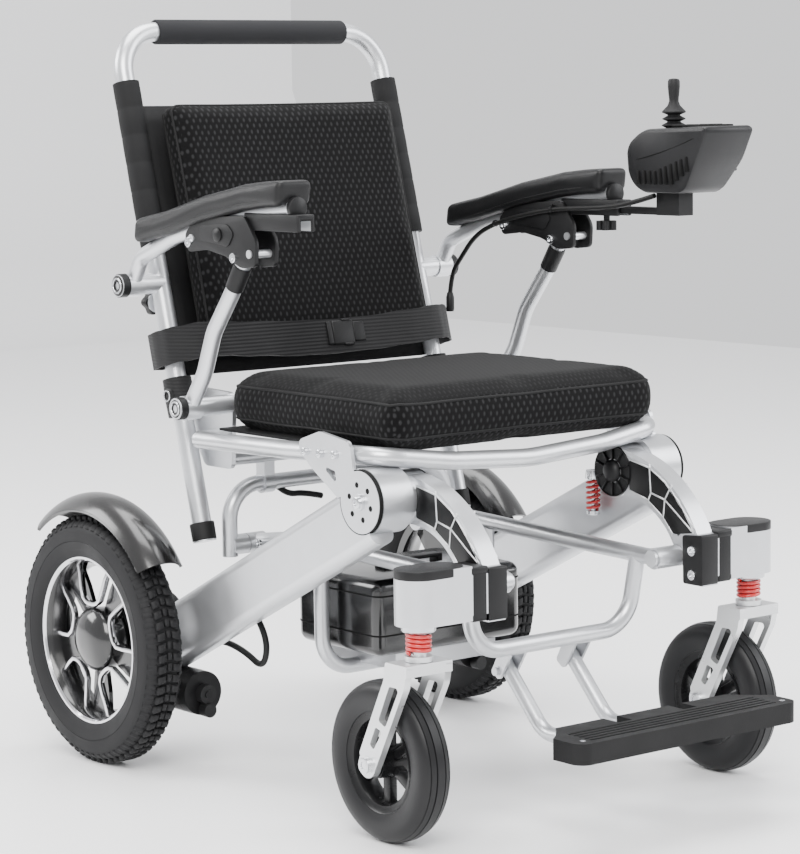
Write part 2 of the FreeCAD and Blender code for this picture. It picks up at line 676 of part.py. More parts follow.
def caster_fork():
    """Cast fork: top plate, two windowed legs and the axle bolt."""
    inner = CASTER_WIDTH / 2 + 3.5
    outer = inner + 9
    pieces = []
    for side in (1, -1):
        x0 = CASTER_X + (inner if side > 0 else -outer)
        x1 = x0 + outer - inner
        leg = side_plate(
            [
                (-380.0, FORK_TOP),
                (-341.0, FORK_TOP),
                (-338.0, 196.0),
                (-291.0, 104.0),
                (-316.0, 82.0),
                (-374.0, 190.0),
            ],
            [3, 3, 20, 6, 8, 20],
            x0,
            x1,
        )
        boss = rod_x(15.0, x0, x1, CASTER_AXLE_Y, CASTER_RADIUS)
        upper = side_plate([(-366, 190), (-348, 190), (-327, 148), (-340, 142)], 4, x0 - 1, x1 + 1)
        lower = side_plate([(-334, 136), (-322, 140), (-311, 118), (-318, 113)], 3, x0 - 1, x1 + 1)
        leg = leg.cut(upper).cut(lower)
        pieces.append(joined(leg, boss))
    top = block(CASTER_X - outer, CASTER_X + outer, -379.0, -342.0, FORK_TOP - 13, FORK_TOP)
    head = outer + 4
    bolt = rod_x(CASTER_AXLE_RADIUS, CASTER_X - head, CASTER_X + head, CASTER_AXLE_Y, CASTER_RADIUS)
    near = rod_x(9.0, CASTER_X - head, CASTER_X - outer, CASTER_AXLE_Y, CASTER_RADIUS)
    far = rod_x(9.0, CASTER_X + outer, CASTER_X + head, CASTER_AXLE_Y, CASTER_RADIUS)
    fork = joined(top, bolt, near, far, *pieces)
    return fork.cut(rod_z(FORK_PIN_RADIUS + RUNNING, CASTER_X, SWIVEL_Y, FORK_TOP - 14, FORK_TOP + 1))


def caster_wheel():
    """Solid tyre on a narrow web and a hub."""
    half = CASTER_WIDTH / 2
    hub = half + 2.5
    r = CASTER_RADIUS
    bore = CASTER_AXLE_RADIUS + RUNNING
    one_side = [
        (bore, hub),
        (19.0, hub),
        (22.0, 8.0),
        (54.0, 8.0),
        (58.0, half - 4),
        (66.0, half - 0.5),
        (76.0, half),
        (r - 8, half - 3),
        (r - 2.5, half - 9),
        (r, half - 15),
    ]
    other_side = [(radius, -x) for radius, x in reversed(one_side)]
    profile = [(radius, CASTER_X + x) for radius, x in one_side + other_side]
    return turned_x(profile, CASTER_AXLE_Y, CASTER_RADIUS)


# ---- rear hoop and underframe ----------------------------------------------
HOOP_BOSS_RADIUS = 13.0
HOOP_BOSS_INNER_X = HOOP_X - 23


def rear_hoop():
    """Inverted U that hangs from the rear cross tube and ends in two bosses."""
    foot = HOOP_PIN_Z - 14
    points = [
        (-HOOP_X, HOOP_Y, foot),
        (-HOOP_X, HOOP_Y, HOOP_TOP_Z),
        (HOOP_X, HOOP_Y, HOOP_TOP_Z),
        (HOOP_X, HOOP_Y, foot),
    ]
    hoop = tube(points, HOOP_RADIUS, 44.0)
    boss = rod_x(HOOP_BOSS_RADIUS, HOOP_BOSS_INNER_X, HOOP_X, HOOP_Y, HOOP_PIN_Z)
    return joined(hoop, boss, mirrored(boss))


def hoop_cable():
    """Lead strapped under the hoop, which enters its tube, with its plug."""
    y = HOOP_Y
    inside = HOOP_TOP_Z - HOOP_RADIUS - CABLE_RADIUS
    route = [
        (-30.0, y, inside - 12),
        (-58.0, y, inside - 5),
        (-86.0, y, inside - 5),
        (-102.0, y, HOOP_TOP_Z - 5),
    ]
    lead = tube(route, CABLE_RADIUS, cord_bends(route))
    plug = block(-36.0, -14.0, y - 6, y + 6, inside - 19, inside - 5)
    strap = block(-76.0, -70.0, y - 5, y + 5, inside - 10, HOOP_TOP_Z)
    return joined(lead, plug, strap).cut(rod_x(HOOP_RADIUS, -HOOP_X, 0, HOOP_Y, HOOP_TOP_Z))


def link_tube():
    """Side tube of the underframe, from the leg's pin to the hoop's boss."""
    x = LINK_X
    bar = tube(
        [(x, HOOP_Y - 6, HOOP_PIN_Z + 2), (x, 26.0, 296.0), (x, -170.0, 289.0), (x, LOBE_Y + 5, LOBE_Z - 3)],
        LINK_RADIUS,
        [0, 160, 300, 0],
    )
    eye = rod_x(HOOP_BOSS_RADIUS, x - LINK_RADIUS, HOOP_BOSS_INNER_X - 1, HOOP_Y, HOOP_PIN_Z)
    sleeve = rod_x(HOOP_BOSS_RADIUS, x - 18, LEG_INNER_X - SIDE_GAP, LOBE_Y, LOBE_Z)
    bore = rod_x(LOBE_PIN_RADIUS + RUNNING, x - 19, LEG_INNER_X, LOBE_Y, LOBE_Z)
    return joined(bar, eye, sleeve).cut(bore)


U_Y = -290.0
U_Z = 196.0
LUG_OFFSET = 13.0               # outer faces of the footrest lugs beside each stem
LUG_THICKNESS = 3.5


def front_u_tube(links):
    """U tube below the front of the underframe, which carries the footrest."""
    x = LINK_X
    points = [
        (-x, U_Y - 6, 284.0),
        (-x + 12, U_Y, U_Z),
        (x - 12, U_Y, U_Z),
        (x, U_Y - 6, 284.0),
    ]
    bar = tube(points, LINK_RADIUS, 46.0)
    pieces = [bar]
    for side in (1, -1):
        lug = side_plate(
            [(U_Y - 4, U_Z - 2), (U_Y + 16, U_Z + 2), (U_Y + 36, U_Z - 34), (U_Y + 22, U_Z - 44)],
            5,
            STEM_X - LUG_OFFSET,
            STEM_X - LUG_OFFSET + LUG_THICKNESS,
        )
        far_lug = lug.copy()
        far_lug.translate(V(LUG_OFFSET * 2 - LUG_THICKNESS, 0, 0))
        bolt = rod_x(5.0, STEM_X - LUG_OFFSET, STEM_X + LUG_OFFSET + 4, U_Y + 26, U_Z - 33)
        for piece in (lug, far_lug, bolt):
            pieces.append(piece if side > 0 else mirrored(piece))
    return joined(*pieces).cut(links)


CRADLE_Y = -13.0
CRADLE_RADIUS = 9.5
CRADLE_BOTTOM = 136.0


def battery_cradle(links, battery_box):
    """U tube hung from the side tubes, with the tray under the battery."""
    x = LINK_X
    bar = tube(
        [
            (-x, CRADLE_Y, 290),
            (-x, CRADLE_Y, CRADLE_BOTTOM),
            (x, CRADLE_Y, CRADLE_BOTTOM),
            (x, CRADLE_Y, 290),
        ],
        CRADLE_RADIUS,
        42.0,
    )
    tray_y0, tray_y1 = BATTERY_FRONT + 12, BATTERY_REAR - 12
    tray = block(-80, 80, tray_y0, tray_y1, CRADLE_BOTTOM + 4, BATTERY_BOTTOM)
    return joined(bar, tray).cut(links).cut(battery_box)


def battery():
    """Battery case in two halves with a raised band between them."""
    w = BATTERY_HALF_WIDTH
    case = block(-w, w, BATTERY_FRONT, BATTERY_REAR, BATTERY_BOTTOM, BATTERY_TOP)
    case = softened(case, 7.0, case.Edges)
    groove = 1.5
    middle = (BATTERY_BOTTOM + BATTERY_TOP) / 2
    ring = block(-w - 1, w + 1, BATTERY_FRONT - 1, BATTERY_REAR + 1, middle - groove, middle + groove)
    core = block(
        -w + groove, w - groove, BATTERY_FRONT + groove, BATTERY_REAR - groove, middle - 5, middle + 5
    )
    handle = block(-40, 40, BATTERY_FRONT + 50, BATTERY_FRONT + 62, BATTERY_TOP, BATTERY_TOP + 9)
    return joined(case.cut(ring.cut(core)), handle)


FOOT_ROD_RADIUS = 6.0


def footrest_stems(u_tube):
    """Two bent tubes down to the footplate's hinge rod."""
    pieces = [rod_x(FOOT_ROD_RADIUS, -STEM_X - 14, STEM_X + 14, FOOT_HINGE_Y, FOOT_HINGE_Z)]
    for side in (1, -1):
        x = side * STEM_X
        points = [
            (x, U_Y + 30, U_Z - 20),
            (x, U_Y - 44, 98.0),
            (x, -410.0, 100.0),
            (x, FOOT_HINGE_Y, FOOT_HINGE_Z),
        ]
        pieces.append(tube(points, STEM_RADIUS, [0, 38, 50, 0]))
    return joined(*pieces).cut(u_tube)


def footplate():
    """Ribbed plate, hollowed for the stems and cleared for the swinging casters."""
    w = FOOTPLATE_HALF_WIDTH
    bottom = FOOTPLATE_TOP - FOOTPLATE_THICKNESS
    outline = [(-w, FOOTPLATE_FRONT), (w, FOOTPLATE_FRONT), (w, FOOTPLATE_REAR), (-w, FOOTPLATE_REAR)]
    plate = flat_plate(outline, 16.0, bottom, FOOTPLATE_TOP)
    swept = CASTER_TRAIL + CASTER_RADIUS + 4
    for side in (1, -1):
        plate = plate.cut(rod_z(swept, side * CASTER_X, SWIVEL_Y, bottom - 1, FOOTPLATE_TOP + 1))
        x = side * STEM_X
        gap = STEM_RADIUS + 1.5
        notch = block(x - gap, x + gap, FOOT_HINGE_Y - 13, FOOTPLATE_REAR + 1, bottom - 1, FOOTPLATE_TOP + 1)
        plate = plate.cut(notch)
    bore_end = STEM_X + 14 + SIDE_GAP
    plate = plate.cut(rod_x(FOOT_ROD_RADIUS + RUNNING, -bore_end, bore_end, FOOT_HINGE_Y, FOOT_HINGE_Z))
    rib_pitch, rib_depth, rib_width = 9.0, 1.2, 3.0
    y = FOOTPLATE_FRONT + 12
    while y < FOOTPLATE_REAR - 30:
        groove = block(-w + 26, w - 26, y, y + rib_width, FOOTPLATE_TOP - rib_depth, FOOTPLATE_TOP + 1)
        plate = plate.cut(groove)
        y += rib_pitch
    return plate


# ---- backrest --------------------------------------------------------------
SLEEVE_RADIUS = 15.0
SLING_BOTTOM_Z = 492.0
SLING_TOP_Z = 832.0
SLEEVE_BOTTOM_Z = 655.0
BACK_CUSHION_HALF_WIDTH = BACK_POST_X - 24
BACK_CUSHION_THICKNESS = 38.0
BACK_CUSHION_LOW = 512.0        # heights on the posts' line
BACK_CUSHION_HIGH = 829.0
BACK_CUSHION_OFFSET = 14.0      # its rear face in front of the posts' line
KNOB_Z = 585.0                  # star knobs on the posts
KNUCKLE_RADIUS = 13.0           # collars between a tube and a turning eye
EYE_RADIUS = 15.0


def back_tube():
    """Both back posts and the push handle, bent from one tube, with rubber feet."""
    x = BACK_POST_X
    top = (x, post_y(HANDLE_Z), HANDLE_Z)
    foot = (x, BACK_FOOT_Y, BACK_FOOT_Z)
    points = [foot, top, (-x, top[1], top[2]), (-x, foot[1], foot[2])]
    bar = tube(points, BACK_TUBE_RADIUS, 56.0)
    pieces = [bar]
    for side in (1, -1):
        cap = reclined(rod_z(SLEEVE_RADIUS, side * x, BACK_FOOT_Y, BACK_FOOT_Z - 1, BACK_FOOT_Z + 20))
        stub_end = ARM_X + 20
        stub = rod_x(PIVOT_PIN_RADIUS, x, stub_end, ARM_PIVOT_Y, ARM_PIVOT_Z)
        shoulder_end = ARM_X - EYE_HALF - SIDE_GAP
        shoulder = rod_x(KNUCKLE_RADIUS, x, shoulder_end, ARM_PIVOT_Y, ARM_PIVOT_Z)
        cap_start = ARM_X + EYE_HALF + SIDE_GAP
        end_cap = rod_x(14.0, cap_start, stub_end + 2, ARM_PIVOT_Y, ARM_PIVOT_Z)
        knob_y = post_y(KNOB_Z)
        knob = rod(13.0, (x, knob_y + 16, KNOB_Z), (x, knob_y + 28, KNOB_Z))
        knob_bar = rod(5.0, (x, knob_y, KNOB_Z), (x, knob_y + 17, KNOB_Z))
        pieces.append(cap)
        for piece in (stub, shoulder, end_cap, knob, knob_bar):
            pieces.append(piece if side > 0 else mirrored(piece))
    frame = joined(*pieces)
    reach = x + 20
    return frame.cut(rod_x(PIVOT_PIN_RADIUS + RUNNING, -reach, reach, BACK_HINGE_Y, BACK_HINGE_Z))


def push_grip():
    y = post_y(HANDLE_Z)
    foam = rod_x(BACK_TUBE_RADIUS + 3.5, -GRIP_HALF_LENGTH, GRIP_HALF_LENGTH, y, HANDLE_Z)
    return foam.cut(rod_x(BACK_TUBE_RADIUS, -BACK_POST_X, BACK_POST_X, y, HANDLE_Z))


def back_sling(frame):
    """Fabric panel with a sleeve round each post."""
    low, high = up_post(SLING_BOTTOM_Z), up_post(SLING_TOP_Z)
    x = BACK_POST_X
    panel = block(-x, x, BACK_FOOT_Y - 3, BACK_FOOT_Y + 3, low, high)
    pieces = [reclined(panel)]
    for side in (1, -1):
        sleeve = rod_z(SLEEVE_RADIUS, side * x, BACK_FOOT_Y, up_post(SLEEVE_BOTTOM_Z), high)
        pieces.append(reclined(sleeve))
    return joined(*pieces).cut(frame)


def back_cushion():
    w = BACK_CUSHION_HALF_WIDTH
    rear = BACK_FOOT_Y - BACK_CUSHION_OFFSET
    front = rear - BACK_CUSHION_THICKNESS
    pad = block(-w, w, front, rear, up_post(BACK_CUSHION_LOW), up_post(BACK_CUSHION_HIGH))
    pad = softened(pad, 15.0, edges_along(pad, V(0, 1, 0)))
    pad = softened(pad, 9.0, [e for e in pad.Edges if max(v.Y for v in e.Vertexes) < front + 0.1])
    return reclined(pad)


BELT_WIDTH = 46.0
BELT_THICKNESS = 3.0
BELT_LOW_Z = 507.0              # its lower edge on the posts' line


def lap_belt():
    """Webbing across the front of the back cushion, wrapped round each post."""
    width, thickness = BELT_WIDTH, BELT_THICKNESS
    x = BACK_POST_X
    front = BACK_FOOT_Y - BACK_CUSHION_OFFSET - BACK_CUSHION_THICKNESS - 2
    low = up_post(BELT_LOW_Z)
    outer = flat_plate(
        [
            (-x - 22, BACK_FOOT_Y + 20),
            (-x - 22, BACK_FOOT_Y - 22),
            (-x + 20, front - thickness),
            (x - 20, front - thickness),
            (x + 22, BACK_FOOT_Y - 22),
            (x + 22, BACK_FOOT_Y + 20),
        ],
        8.0,
        low,
        low + width,
    )
    t = thickness
    inner = flat_plate(
        [
            (-x - 22 + t, BACK_FOOT_Y + 20 - t),
            (-x - 22 + t, BACK_FOOT_Y - 22 + t),
            (-x + 20 + t, front),
            (x - 20 - t, front),
            (x + 22 - t, BACK_FOOT_Y - 22 + t),
            (x + 22 - t, BACK_FOOT_Y + 20 - t),
        ],
        5.0,
        low - 1,
        low + width + 1,
    )
    return reclined(outer.cut(inner))


# ---- arms -------------------------------------------------------------------
PAD_FRONT = -131.0
PAD_REAR = 178.0


def arm_path():
    """Centre line of the arm tube in the side view."""
    return [(ARM_PIVOT_Y, ARM_PIVOT_Z), (196.0, 645.0), (118.0, 674.0), (-10.0, 703.0), (-128.0, 714.0)]


RAIL_FRONT = -150.0
RAIL_REAR = -45.0
RAIL_BOTTOM = 688.0
RAIL_TOP = 706.0
SLIDE_BAR_HALF = 7.0
SLIDE_BAR_BOTTOM = 690.0
SLIDE_BAR_TOP = 699.0


def arm_frame():
    """Bent arm tube with its rear eye, the latch plates and the slotted rail."""
    path = [(ARM_X, y, z) for y, z in arm_path()]
    bar = tube(path, ARM_TUBE_RADIUS, [0, 26, 120, 300, 0])
    eye = rod_x(EYE_RADIUS, ARM_X - EYE_HALF, ARM_X + EYE_HALF, ARM_PIVOT_Y, ARM_PIVOT_Z)
    plate_inner, plate_outer = 12.0, 16.0
    latch = []
    outline = [
        (48.0, 698.0),
        (72.0, 678.0),
        (66.0, 659.0),
        (26.0, 663.0),
        (-12.0, 656.0),
        (-42.0, 643.0),
        (-70.0, 646.0),
        (-72.0, 672.0),
        (-50.0, 704.0),
    ]
    for side in (1, -1):
        x0 = ARM_X + (plate_inner if side > 0 else -plate_outer)
        latch.append(side_plate(outline, [6, 8, 8, 30, 20, 8, 10, 20, 8], x0, x0 + plate_outer - plate_inner))
    bolt_head = plate_outer + 3
    for y, z in ((-62.0, 659.0), (58.0, 674.0)):
        latch.append(rod_x(5.0, ARM_X - bolt_head, ARM_X + bolt_head, y, z))
    filler = block(ARM_X - plate_inner - 1, ARM_X + plate_inner + 1, -50.0, 60.0, 689.0, 698.0)
    latch.append(filler)
    rail = block(ARM_X - 12, ARM_X + 12, RAIL_FRONT, RAIL_REAR, RAIL_BOTTOM, RAIL_TOP)
    slot = block(
        ARM_X - SLIDE_BAR_HALF - 0.3,
        ARM_X + SLIDE_BAR_HALF + 0.3,
        RAIL_FRONT - 1,
        RAIL_REAR + 1,
        RAIL_BOTTOM - 1,
        SLIDE_BAR_TOP + 0.3,
    )
    cap = rod(12.0, (ARM_X, -128.0, 714.0), (ARM_X, -136.0, 714.6))
    arm = joined(bar, eye, rail, cap, *latch)
    arm = arm.cut(slot)
    return arm.cut(rod_x(PIVOT_PIN_RADIUS + RUNNING, ARM_X - 30, ARM_X + 30, ARM_PIVOT_Y, ARM_PIVOT_Z))


def arm_pad(arm):
    """Padded rest that follows the arm's slope and wraps the tube's top."""
    half = ARM_PAD_WIDTH / 2
    lower = [(PAD_REAR, 662.0), (115.0, 675.0), (28.0, 696.0), (-55.0, 711.0), (PAD_FRONT, 717.0)]
    upper = [(y, z + ARM_PAD_THICKNESS) for y, z in reversed(lower)]
    radii = [6, 80, 200, 200, 5, 11, 200, 200, 80, 11]
    pad = side_plate(lower + upper, radii, ARM_X - half, ARM_X + half)
    return pad.cut(arm)


def arm_support():
    """S-bent strut from the seat bracket up to the arm's latch."""
    x = ARM_X
    route = [
        (x, SUPPORT_Y, SUPPORT_Z),
        (x, 62.0, 508.0),
        (x, 40.0, 560.0),
        (x, -2.0, 612.0),
        (x, -33.0, 658.0),
    ]
    bar = tube(route, ARM_TUBE_RADIUS, [0, 70, 70, 160, 0])
    eye = rod_x(EYE_RADIUS, x - EYE_HALF, x + EYE_HALF, SUPPORT_Y, SUPPORT_Z)
    strut = joined(bar, eye)
    return strut.cut(rod_x(PIVOT_PIN_RADIUS + RUNNING, x - 30, x + 30, SUPPORT_Y, SUPPORT_Z))


# ---- controller ----------------------------------------------------------------
BOX_BOTTOM = 718.0
BOX_FRONT = -350.0
BOX_REAR = -196.0
POCKET_RADIUS = 22.0
RING_OUTER = 14.0
RING_INNER = 10.0
GIMBAL_PIN_RADIUS = 2.0
STICK_RADIUS = 4.0
BUTTON_RADIUS = 7.0
BUTTON_Y = -292.0
BUTTON_X = ARM_X - 18
ROCKER_X = ARM_X + 14
ROCKER_HALF = 12.0
KEY_TRAVEL = 1.5


def controller_mount():
    """Bar that slides in the arm's rail, its thumb screw and the box's cradle."""
    bar = block(
        ARM_X - SLIDE_BAR_HALF, ARM_X + SLIDE_BAR_HALF, -250.0, RAIL_REAR, SLIDE_BAR_BOTTOM, SLIDE_BAR_TOP
    )
    riser = block(ARM_X - 12, ARM_X + 12, -262.0, -222.0, SLIDE_BAR_BOTTOM, BOX_BOTTOM)
    screw = rod_z(4.0, ARM_X, -118.0, 672.0, SLIDE_BAR_BOTTOM)
    knob_radius, lobe_radius, lobes = 8.0, 4.5, 5
    knob = rod_z(knob_radius, ARM_X, -118.0, 668.0, 680.0)
    pieces = [bar, riser, screw, knob]
    for i in range(lobes):
        turn = math.radians(i * 360 / lobes)
        x = ARM_X + 9 * math.cos(turn)
        y = -118 + 9 * math.sin(turn)
        pieces.append(rod_z(lobe_radius, x, y, 668.0, 680.0))
    return joined(*pieces)


def controller_box():
    """Two-part housing with a raised nose, a stick pocket and key pockets."""
    half = BOX_WIDTH / 2
    outline = [
        (BOX_REAR, 736.0),
        (BOX_REAR - 2, 778.0),
        (-226.0, 797.0),
        (BOX_FRONT, 802.0),
        (BOX_FRONT + 22, 758.0),
        (-292.0, BOX_BOTTOM),
        (-214.0, BOX_BOTTOM),
    ]
    box = side_plate(outline, [16, 16, 16, 12, 34, 26, 18], ARM_X - half, ARM_X + half)
    box = softened(box, 11.0, long_side_edges(box))
    pocket = rod_z(POCKET_RADIUS, ARM_X, STICK_Y, 770.0, 810.0)
    pin_bore = rod_x(GIMBAL_PIN_RADIUS + RUNNING, ARM_X - 26, ARM_X + 26, STICK_Y, STICK_PIVOT_Z)
    key = rod_z(BUTTON_RADIUS + 0.4, BUTTON_X, BUTTON_Y, 790.0, 810.0)
    rocker = block(
        ROCKER_X - ROCKER_HALF - 0.6,
        ROCKER_X + ROCKER_HALF + 0.6,
        BUTTON_Y - 7.4,
        BUTTON_Y + 7.4,
        790.0,
        810.0,
    )
    rocker_bore = rod(1.25, (ROCKER_X, BUTTON_Y - 11, 797.0), (ROCKER_X, BUTTON_Y + 11, 797.0))
    return box.cut(pocket).cut(pin_bore).cut(key).cut(rocker).cut(rocker_bore)


def long_side_edges(box):
    """The curved outline edges on both side faces."""
    low, high = box.BoundBox.XMin, box.BoundBox.XMax
    found = []
    for edge in box.Edges:
        xs = [v.X for v in edge.Vertexes]
        if max(xs) < low + 0.1 or min(xs) > high - 0.1:
            found.append(edge)
    return found


def joystick_gimbal():
    """Ring on two pins across the box; the stick tilts in it the other way."""
    ring = rod_z(RING_OUTER, ARM_X, STICK_Y, STICK_PIVOT_Z - 3, STICK_PIVOT_Z + 3)
    pins = rod_x(GIMBAL_PIN_RADIUS, ARM_X - 25, ARM_X + 25, STICK_Y, STICK_PIVOT_Z)
    hole = rod_z(RING_INNER, ARM_X, STICK_Y, STICK_PIVOT_Z - 4, STICK_PIVOT_Z + 4)
    bore = rod(
        GIMBAL_PIN_RADIUS + RUNNING,
        (ARM_X, STICK_Y - RING_OUTER - 1, STICK_PIVOT_Z),
        (ARM_X, STICK_Y + RING_OUTER + 1, STICK_PIVOT_Z),
    )
    return joined(ring, pins).cut(hole).cut(bore)


def joystick_stick():
    """Shaft with cross pins, three-fold bellows and knob."""
    z = STICK_PIVOT_Z
    profile = [
        (0.0, z - 4),
        (STICK_RADIUS, z - 4),
        (STICK_RADIUS, z + 11),
        (15.0, z + 11),
        (15.5, z + 15),
        (8.0, z + 21),
        (13.5, z + 24),
        (13.5, z + 27),
        (7.0, z + 32),
        (11.0, z + 35),
        (11.0, z + 38),
        (6.0, z + 43),
        (5.0, z + 48),
        (7.5, z + 54),
        (9.0, z + 62),
        (8.0, z + 69),
        (4.0, z + 72),
        (0.0, z + 73),
    ]
    body = turned_z(profile, ARM_X, STICK_Y)
    pins = rod(GIMBAL_PIN_RADIUS, (ARM_X, STICK_Y - 13.5, z), (ARM_X, STICK_Y + 13.5, z))
    return joined(body, pins)


def power_button():
    return rod_z(BUTTON_RADIUS, BUTTON_X, BUTTON_Y, 790.0 + KEY_TRAVEL + 0.5, 802.5)


def speed_rocker():
    body = block(
        ROCKER_X - ROCKER_HALF, ROCKER_X + ROCKER_HALF, BUTTON_Y - 6.8, BUTTON_Y + 6.8, 794.0, 802.5
    )
    pins = rod(1.2, (ROCKER_X, BUTTON_Y - 10, 797.0), (ROCKER_X, BUTTON_Y + 10, 797.0))
    return joined(body, pins)


CABLE_END_Y = 172.0              # lower end of the lead, beside the back post
CABLE_END_Z = 574.0


def controller_cable():
    """Lead from the box, along the inside of the arm, down beside the back post to a plug."""
    x = ARM_X - 21
    route = [
        (ARM_X - 19, -226.0, BOX_BOTTOM - 3.6),
        (ARM_X - 20, -194.0, 706.0),
        (x, -146.0, 698.0),
        (x, -92.0, 696.0),
        (x, -36.0, 693.0),
        (x, 22.0, 684.0),
        (x, 76.0, 672.0),
        (x, 118.0, 655.0),
        (x, 150.0, 622.0),
        (x, 168.0, 602.0),
        (x, CABLE_END_Y, CABLE_END_Z),
    ]
    plug = rod(5.5, (x, CABLE_END_Y, CABLE_END_Z + 2), (x, CABLE_END_Y - 3, CABLE_END_Z - 26))
    return joined(tube(route, 3.2, cord_bends(route)), plug)


# ---- build --------------------------------------------------------------------
def build():
    os.makedirs("parts", exist_ok=True)
    seat = seat_tube()
    save("seat_tube", seat)
    cross = rear_cross_frame(seat)
    save("rear_cross_frame", cross)
    save("seat_pan", seat_pan(seat))
    save("seat_cushion", seat_cushion(seat))

    beam = main_beam()
    save_pair("main_beam", beam)
    save_pair("hub_plate", hub_plate())
    axle = hub_axle()
    save("hub_axles", Part.makeCompound([axle, mirrored(axle)]))
    save_pair("motor", motor(beam))
    cable = motor_cable()
    save("motor_cables", Part.makeCompound([cable, mirrored(cable)]))
    save_pair("fender", fender())
    save_pair("freewheel_lever", freewheel_lever())
    save_pair("rear_rim", rear_rim())
    save_pair("rear_tyre", rear_tyre())

    save_pair("front_leg", front_leg())
    save_pair("caster_housing", caster_housing())
    save_pair("caster_stem", caster_stem())
    save_pair("caster_spring", caster_spring())
    save_pair("caster_fork", caster_fork())
    save_pair("caster_wheel", caster_wheel())

    link = link_tube()
    links = Part.makeCompound([link, mirrored(link)])
    save_pair("link_tube", link)
    u_tube = front_u_tube(links)
    save("front_u_tube", u_tube)
    box = battery()
    save("battery", box)
    save("battery_cradle", battery_cradle(links, box))
    save("footrest_stems", footrest_stems(u_tube))
    save("footplate", footplate())
    save("rear_hoop", rear_hoop())
    save("hoop_cable", hoop_cable())

    frame = back_tube()
    save("back_tube", frame)
    save("push_grip", push_grip())
    save("back_sling", back_sling(frame))
    save("back_cushion", back_cushion())
    save("lap_belt", lap_belt())

    arm = arm_frame()
    save_pair("arm_frame", arm)
    save_pair("arm_pad", arm_pad(arm))
    save_pair("arm_support", arm_support())

    save("controller_mount", controller_mount())
    save("controller_box", controller_box())
    save("joystick_gimbal", joystick_gimbal())
    save("joystick_stick", joystick_stick())
    save("power_button", power_button())
    save("speed_rocker", speed_rocker())
    save("controller_cable", controller_cable())


build()
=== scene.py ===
import math

import bpy
from mathutils import Matrix, Vector


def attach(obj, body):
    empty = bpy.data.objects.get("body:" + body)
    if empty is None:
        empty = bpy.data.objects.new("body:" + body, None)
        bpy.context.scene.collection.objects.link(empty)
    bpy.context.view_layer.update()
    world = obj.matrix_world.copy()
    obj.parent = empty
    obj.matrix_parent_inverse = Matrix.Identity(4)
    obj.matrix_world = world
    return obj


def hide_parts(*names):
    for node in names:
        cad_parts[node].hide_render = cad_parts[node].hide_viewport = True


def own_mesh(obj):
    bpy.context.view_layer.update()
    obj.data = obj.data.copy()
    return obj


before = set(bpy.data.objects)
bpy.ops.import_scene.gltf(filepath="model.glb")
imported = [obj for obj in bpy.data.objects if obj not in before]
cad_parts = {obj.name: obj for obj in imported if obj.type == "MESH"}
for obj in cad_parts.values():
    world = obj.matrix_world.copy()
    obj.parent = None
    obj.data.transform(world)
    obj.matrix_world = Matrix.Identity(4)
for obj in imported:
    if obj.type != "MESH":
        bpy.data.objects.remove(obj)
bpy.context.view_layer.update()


# ---- camera, floor and light ------------------------------------------------
# A plain pale studio: a seamless floor, a broad soft key from the upper left,
# a weaker fill from the right and a strip behind for the rims of the tubes.
bpy.ops.object.select_all(action="DESELECT")
bpy.ops.object.camera_add(location=(-2.2125, -2.7401, 0.8497))
camera = bpy.context.active_object
heading, lowering, tilt = math.radians(-38.348), math.radians(6.757), math.radians(-0.789)
aim = Matrix.Rotation(heading, 3, "Z") @ Matrix.Rotation(math.pi / 2 - lowering, 3, "X")
camera.rotation_euler = (aim @ Matrix.Rotation(tilt, 3, "Z")).to_euler()
camera.data.sensor_width = 36.0
camera.data.lens = 120.26
camera.data.clip_end = 60.0
bpy.context.scene.camera = camera

bpy.ops.mesh.primitive_plane_add(size=9.0, location=(0, 1.0, 0))
floor = bpy.context.active_object
floor.name = "studio_floor"
bpy.ops.object.mode_set(mode="EDIT")
bpy.ops.mesh.select_all(action="DESELECT")
bpy.ops.object.mode_set(mode="OBJECT")
for edge in floor.data.edges:
    ends = [floor.data.vertices[i].co.y for i in edge.vertices]
    edge.select = min(ends) > 1.0
bpy.ops.object.mode_set(mode="EDIT")
bpy.ops.mesh.select_mode(type="EDGE")
bpy.ops.mesh.extrude_region_move(TRANSFORM_OT_translate={"value": (0, 0.6, 0.25)})
bpy.ops.mesh.extrude_region_move(TRANSFORM_OT_translate={"value": (0, 0.3, 0.6)})
bpy.ops.mesh.extrude_region_move(TRANSFORM_OT_translate={"value": (0, 0.0, 4.0)})
bpy.ops.object.mode_set(mode="OBJECT")
bpy.ops.object.shade_smooth()
paper = bpy.data.materials.new("studio_paper")
paper.use_nodes = True
paper.node_tree.nodes["Principled BSDF"].inputs["Base Color"].default_value = (0.97, 0.97, 0.975, 1)
paper.node_tree.nodes["Principled BSDF"].inputs["Roughness"].default_value = 0.32
floor.data.materials.append(paper)

for name, place, size, power, colour in (
    ("key_light", (-2.6, -2.6, 3.2), 2.6, 260, (1.0, 0.99, 0.97)),
    ("fill_light", (3.0, -2.2, 2.2), 2.4, 120, (0.97, 0.98, 1.0)),
    ("top_light", (0.2, 0.3, 3.6), 2.6, 190, (1.0, 1.0, 1.0)),
    ("back_light", (-2.4, 2.6, 2.4), 1.8, 120, (1.0, 1.0, 1.0)),
):
    bpy.ops.object.light_add(type="AREA", location=place)
    light = bpy.context.active_object
    light.name = name
    light.data.size = size
    light.data.energy = power
    light.data.color = colour
    light.rotation_euler = (Vector((0, 0, 0.45)) - Vector(place)).to_track_quat("-Z", "Y").to_euler()
world = bpy.data.worlds.new("studio")
world.use_nodes = True
world.node_tree.nodes["Background"].inputs["Color"].default_value = (0.96, 0.965, 0.98, 1)
world.node_tree.nodes["Background"].inputs["Strength"].default_value = 1.15
bpy.context.scene.world = world


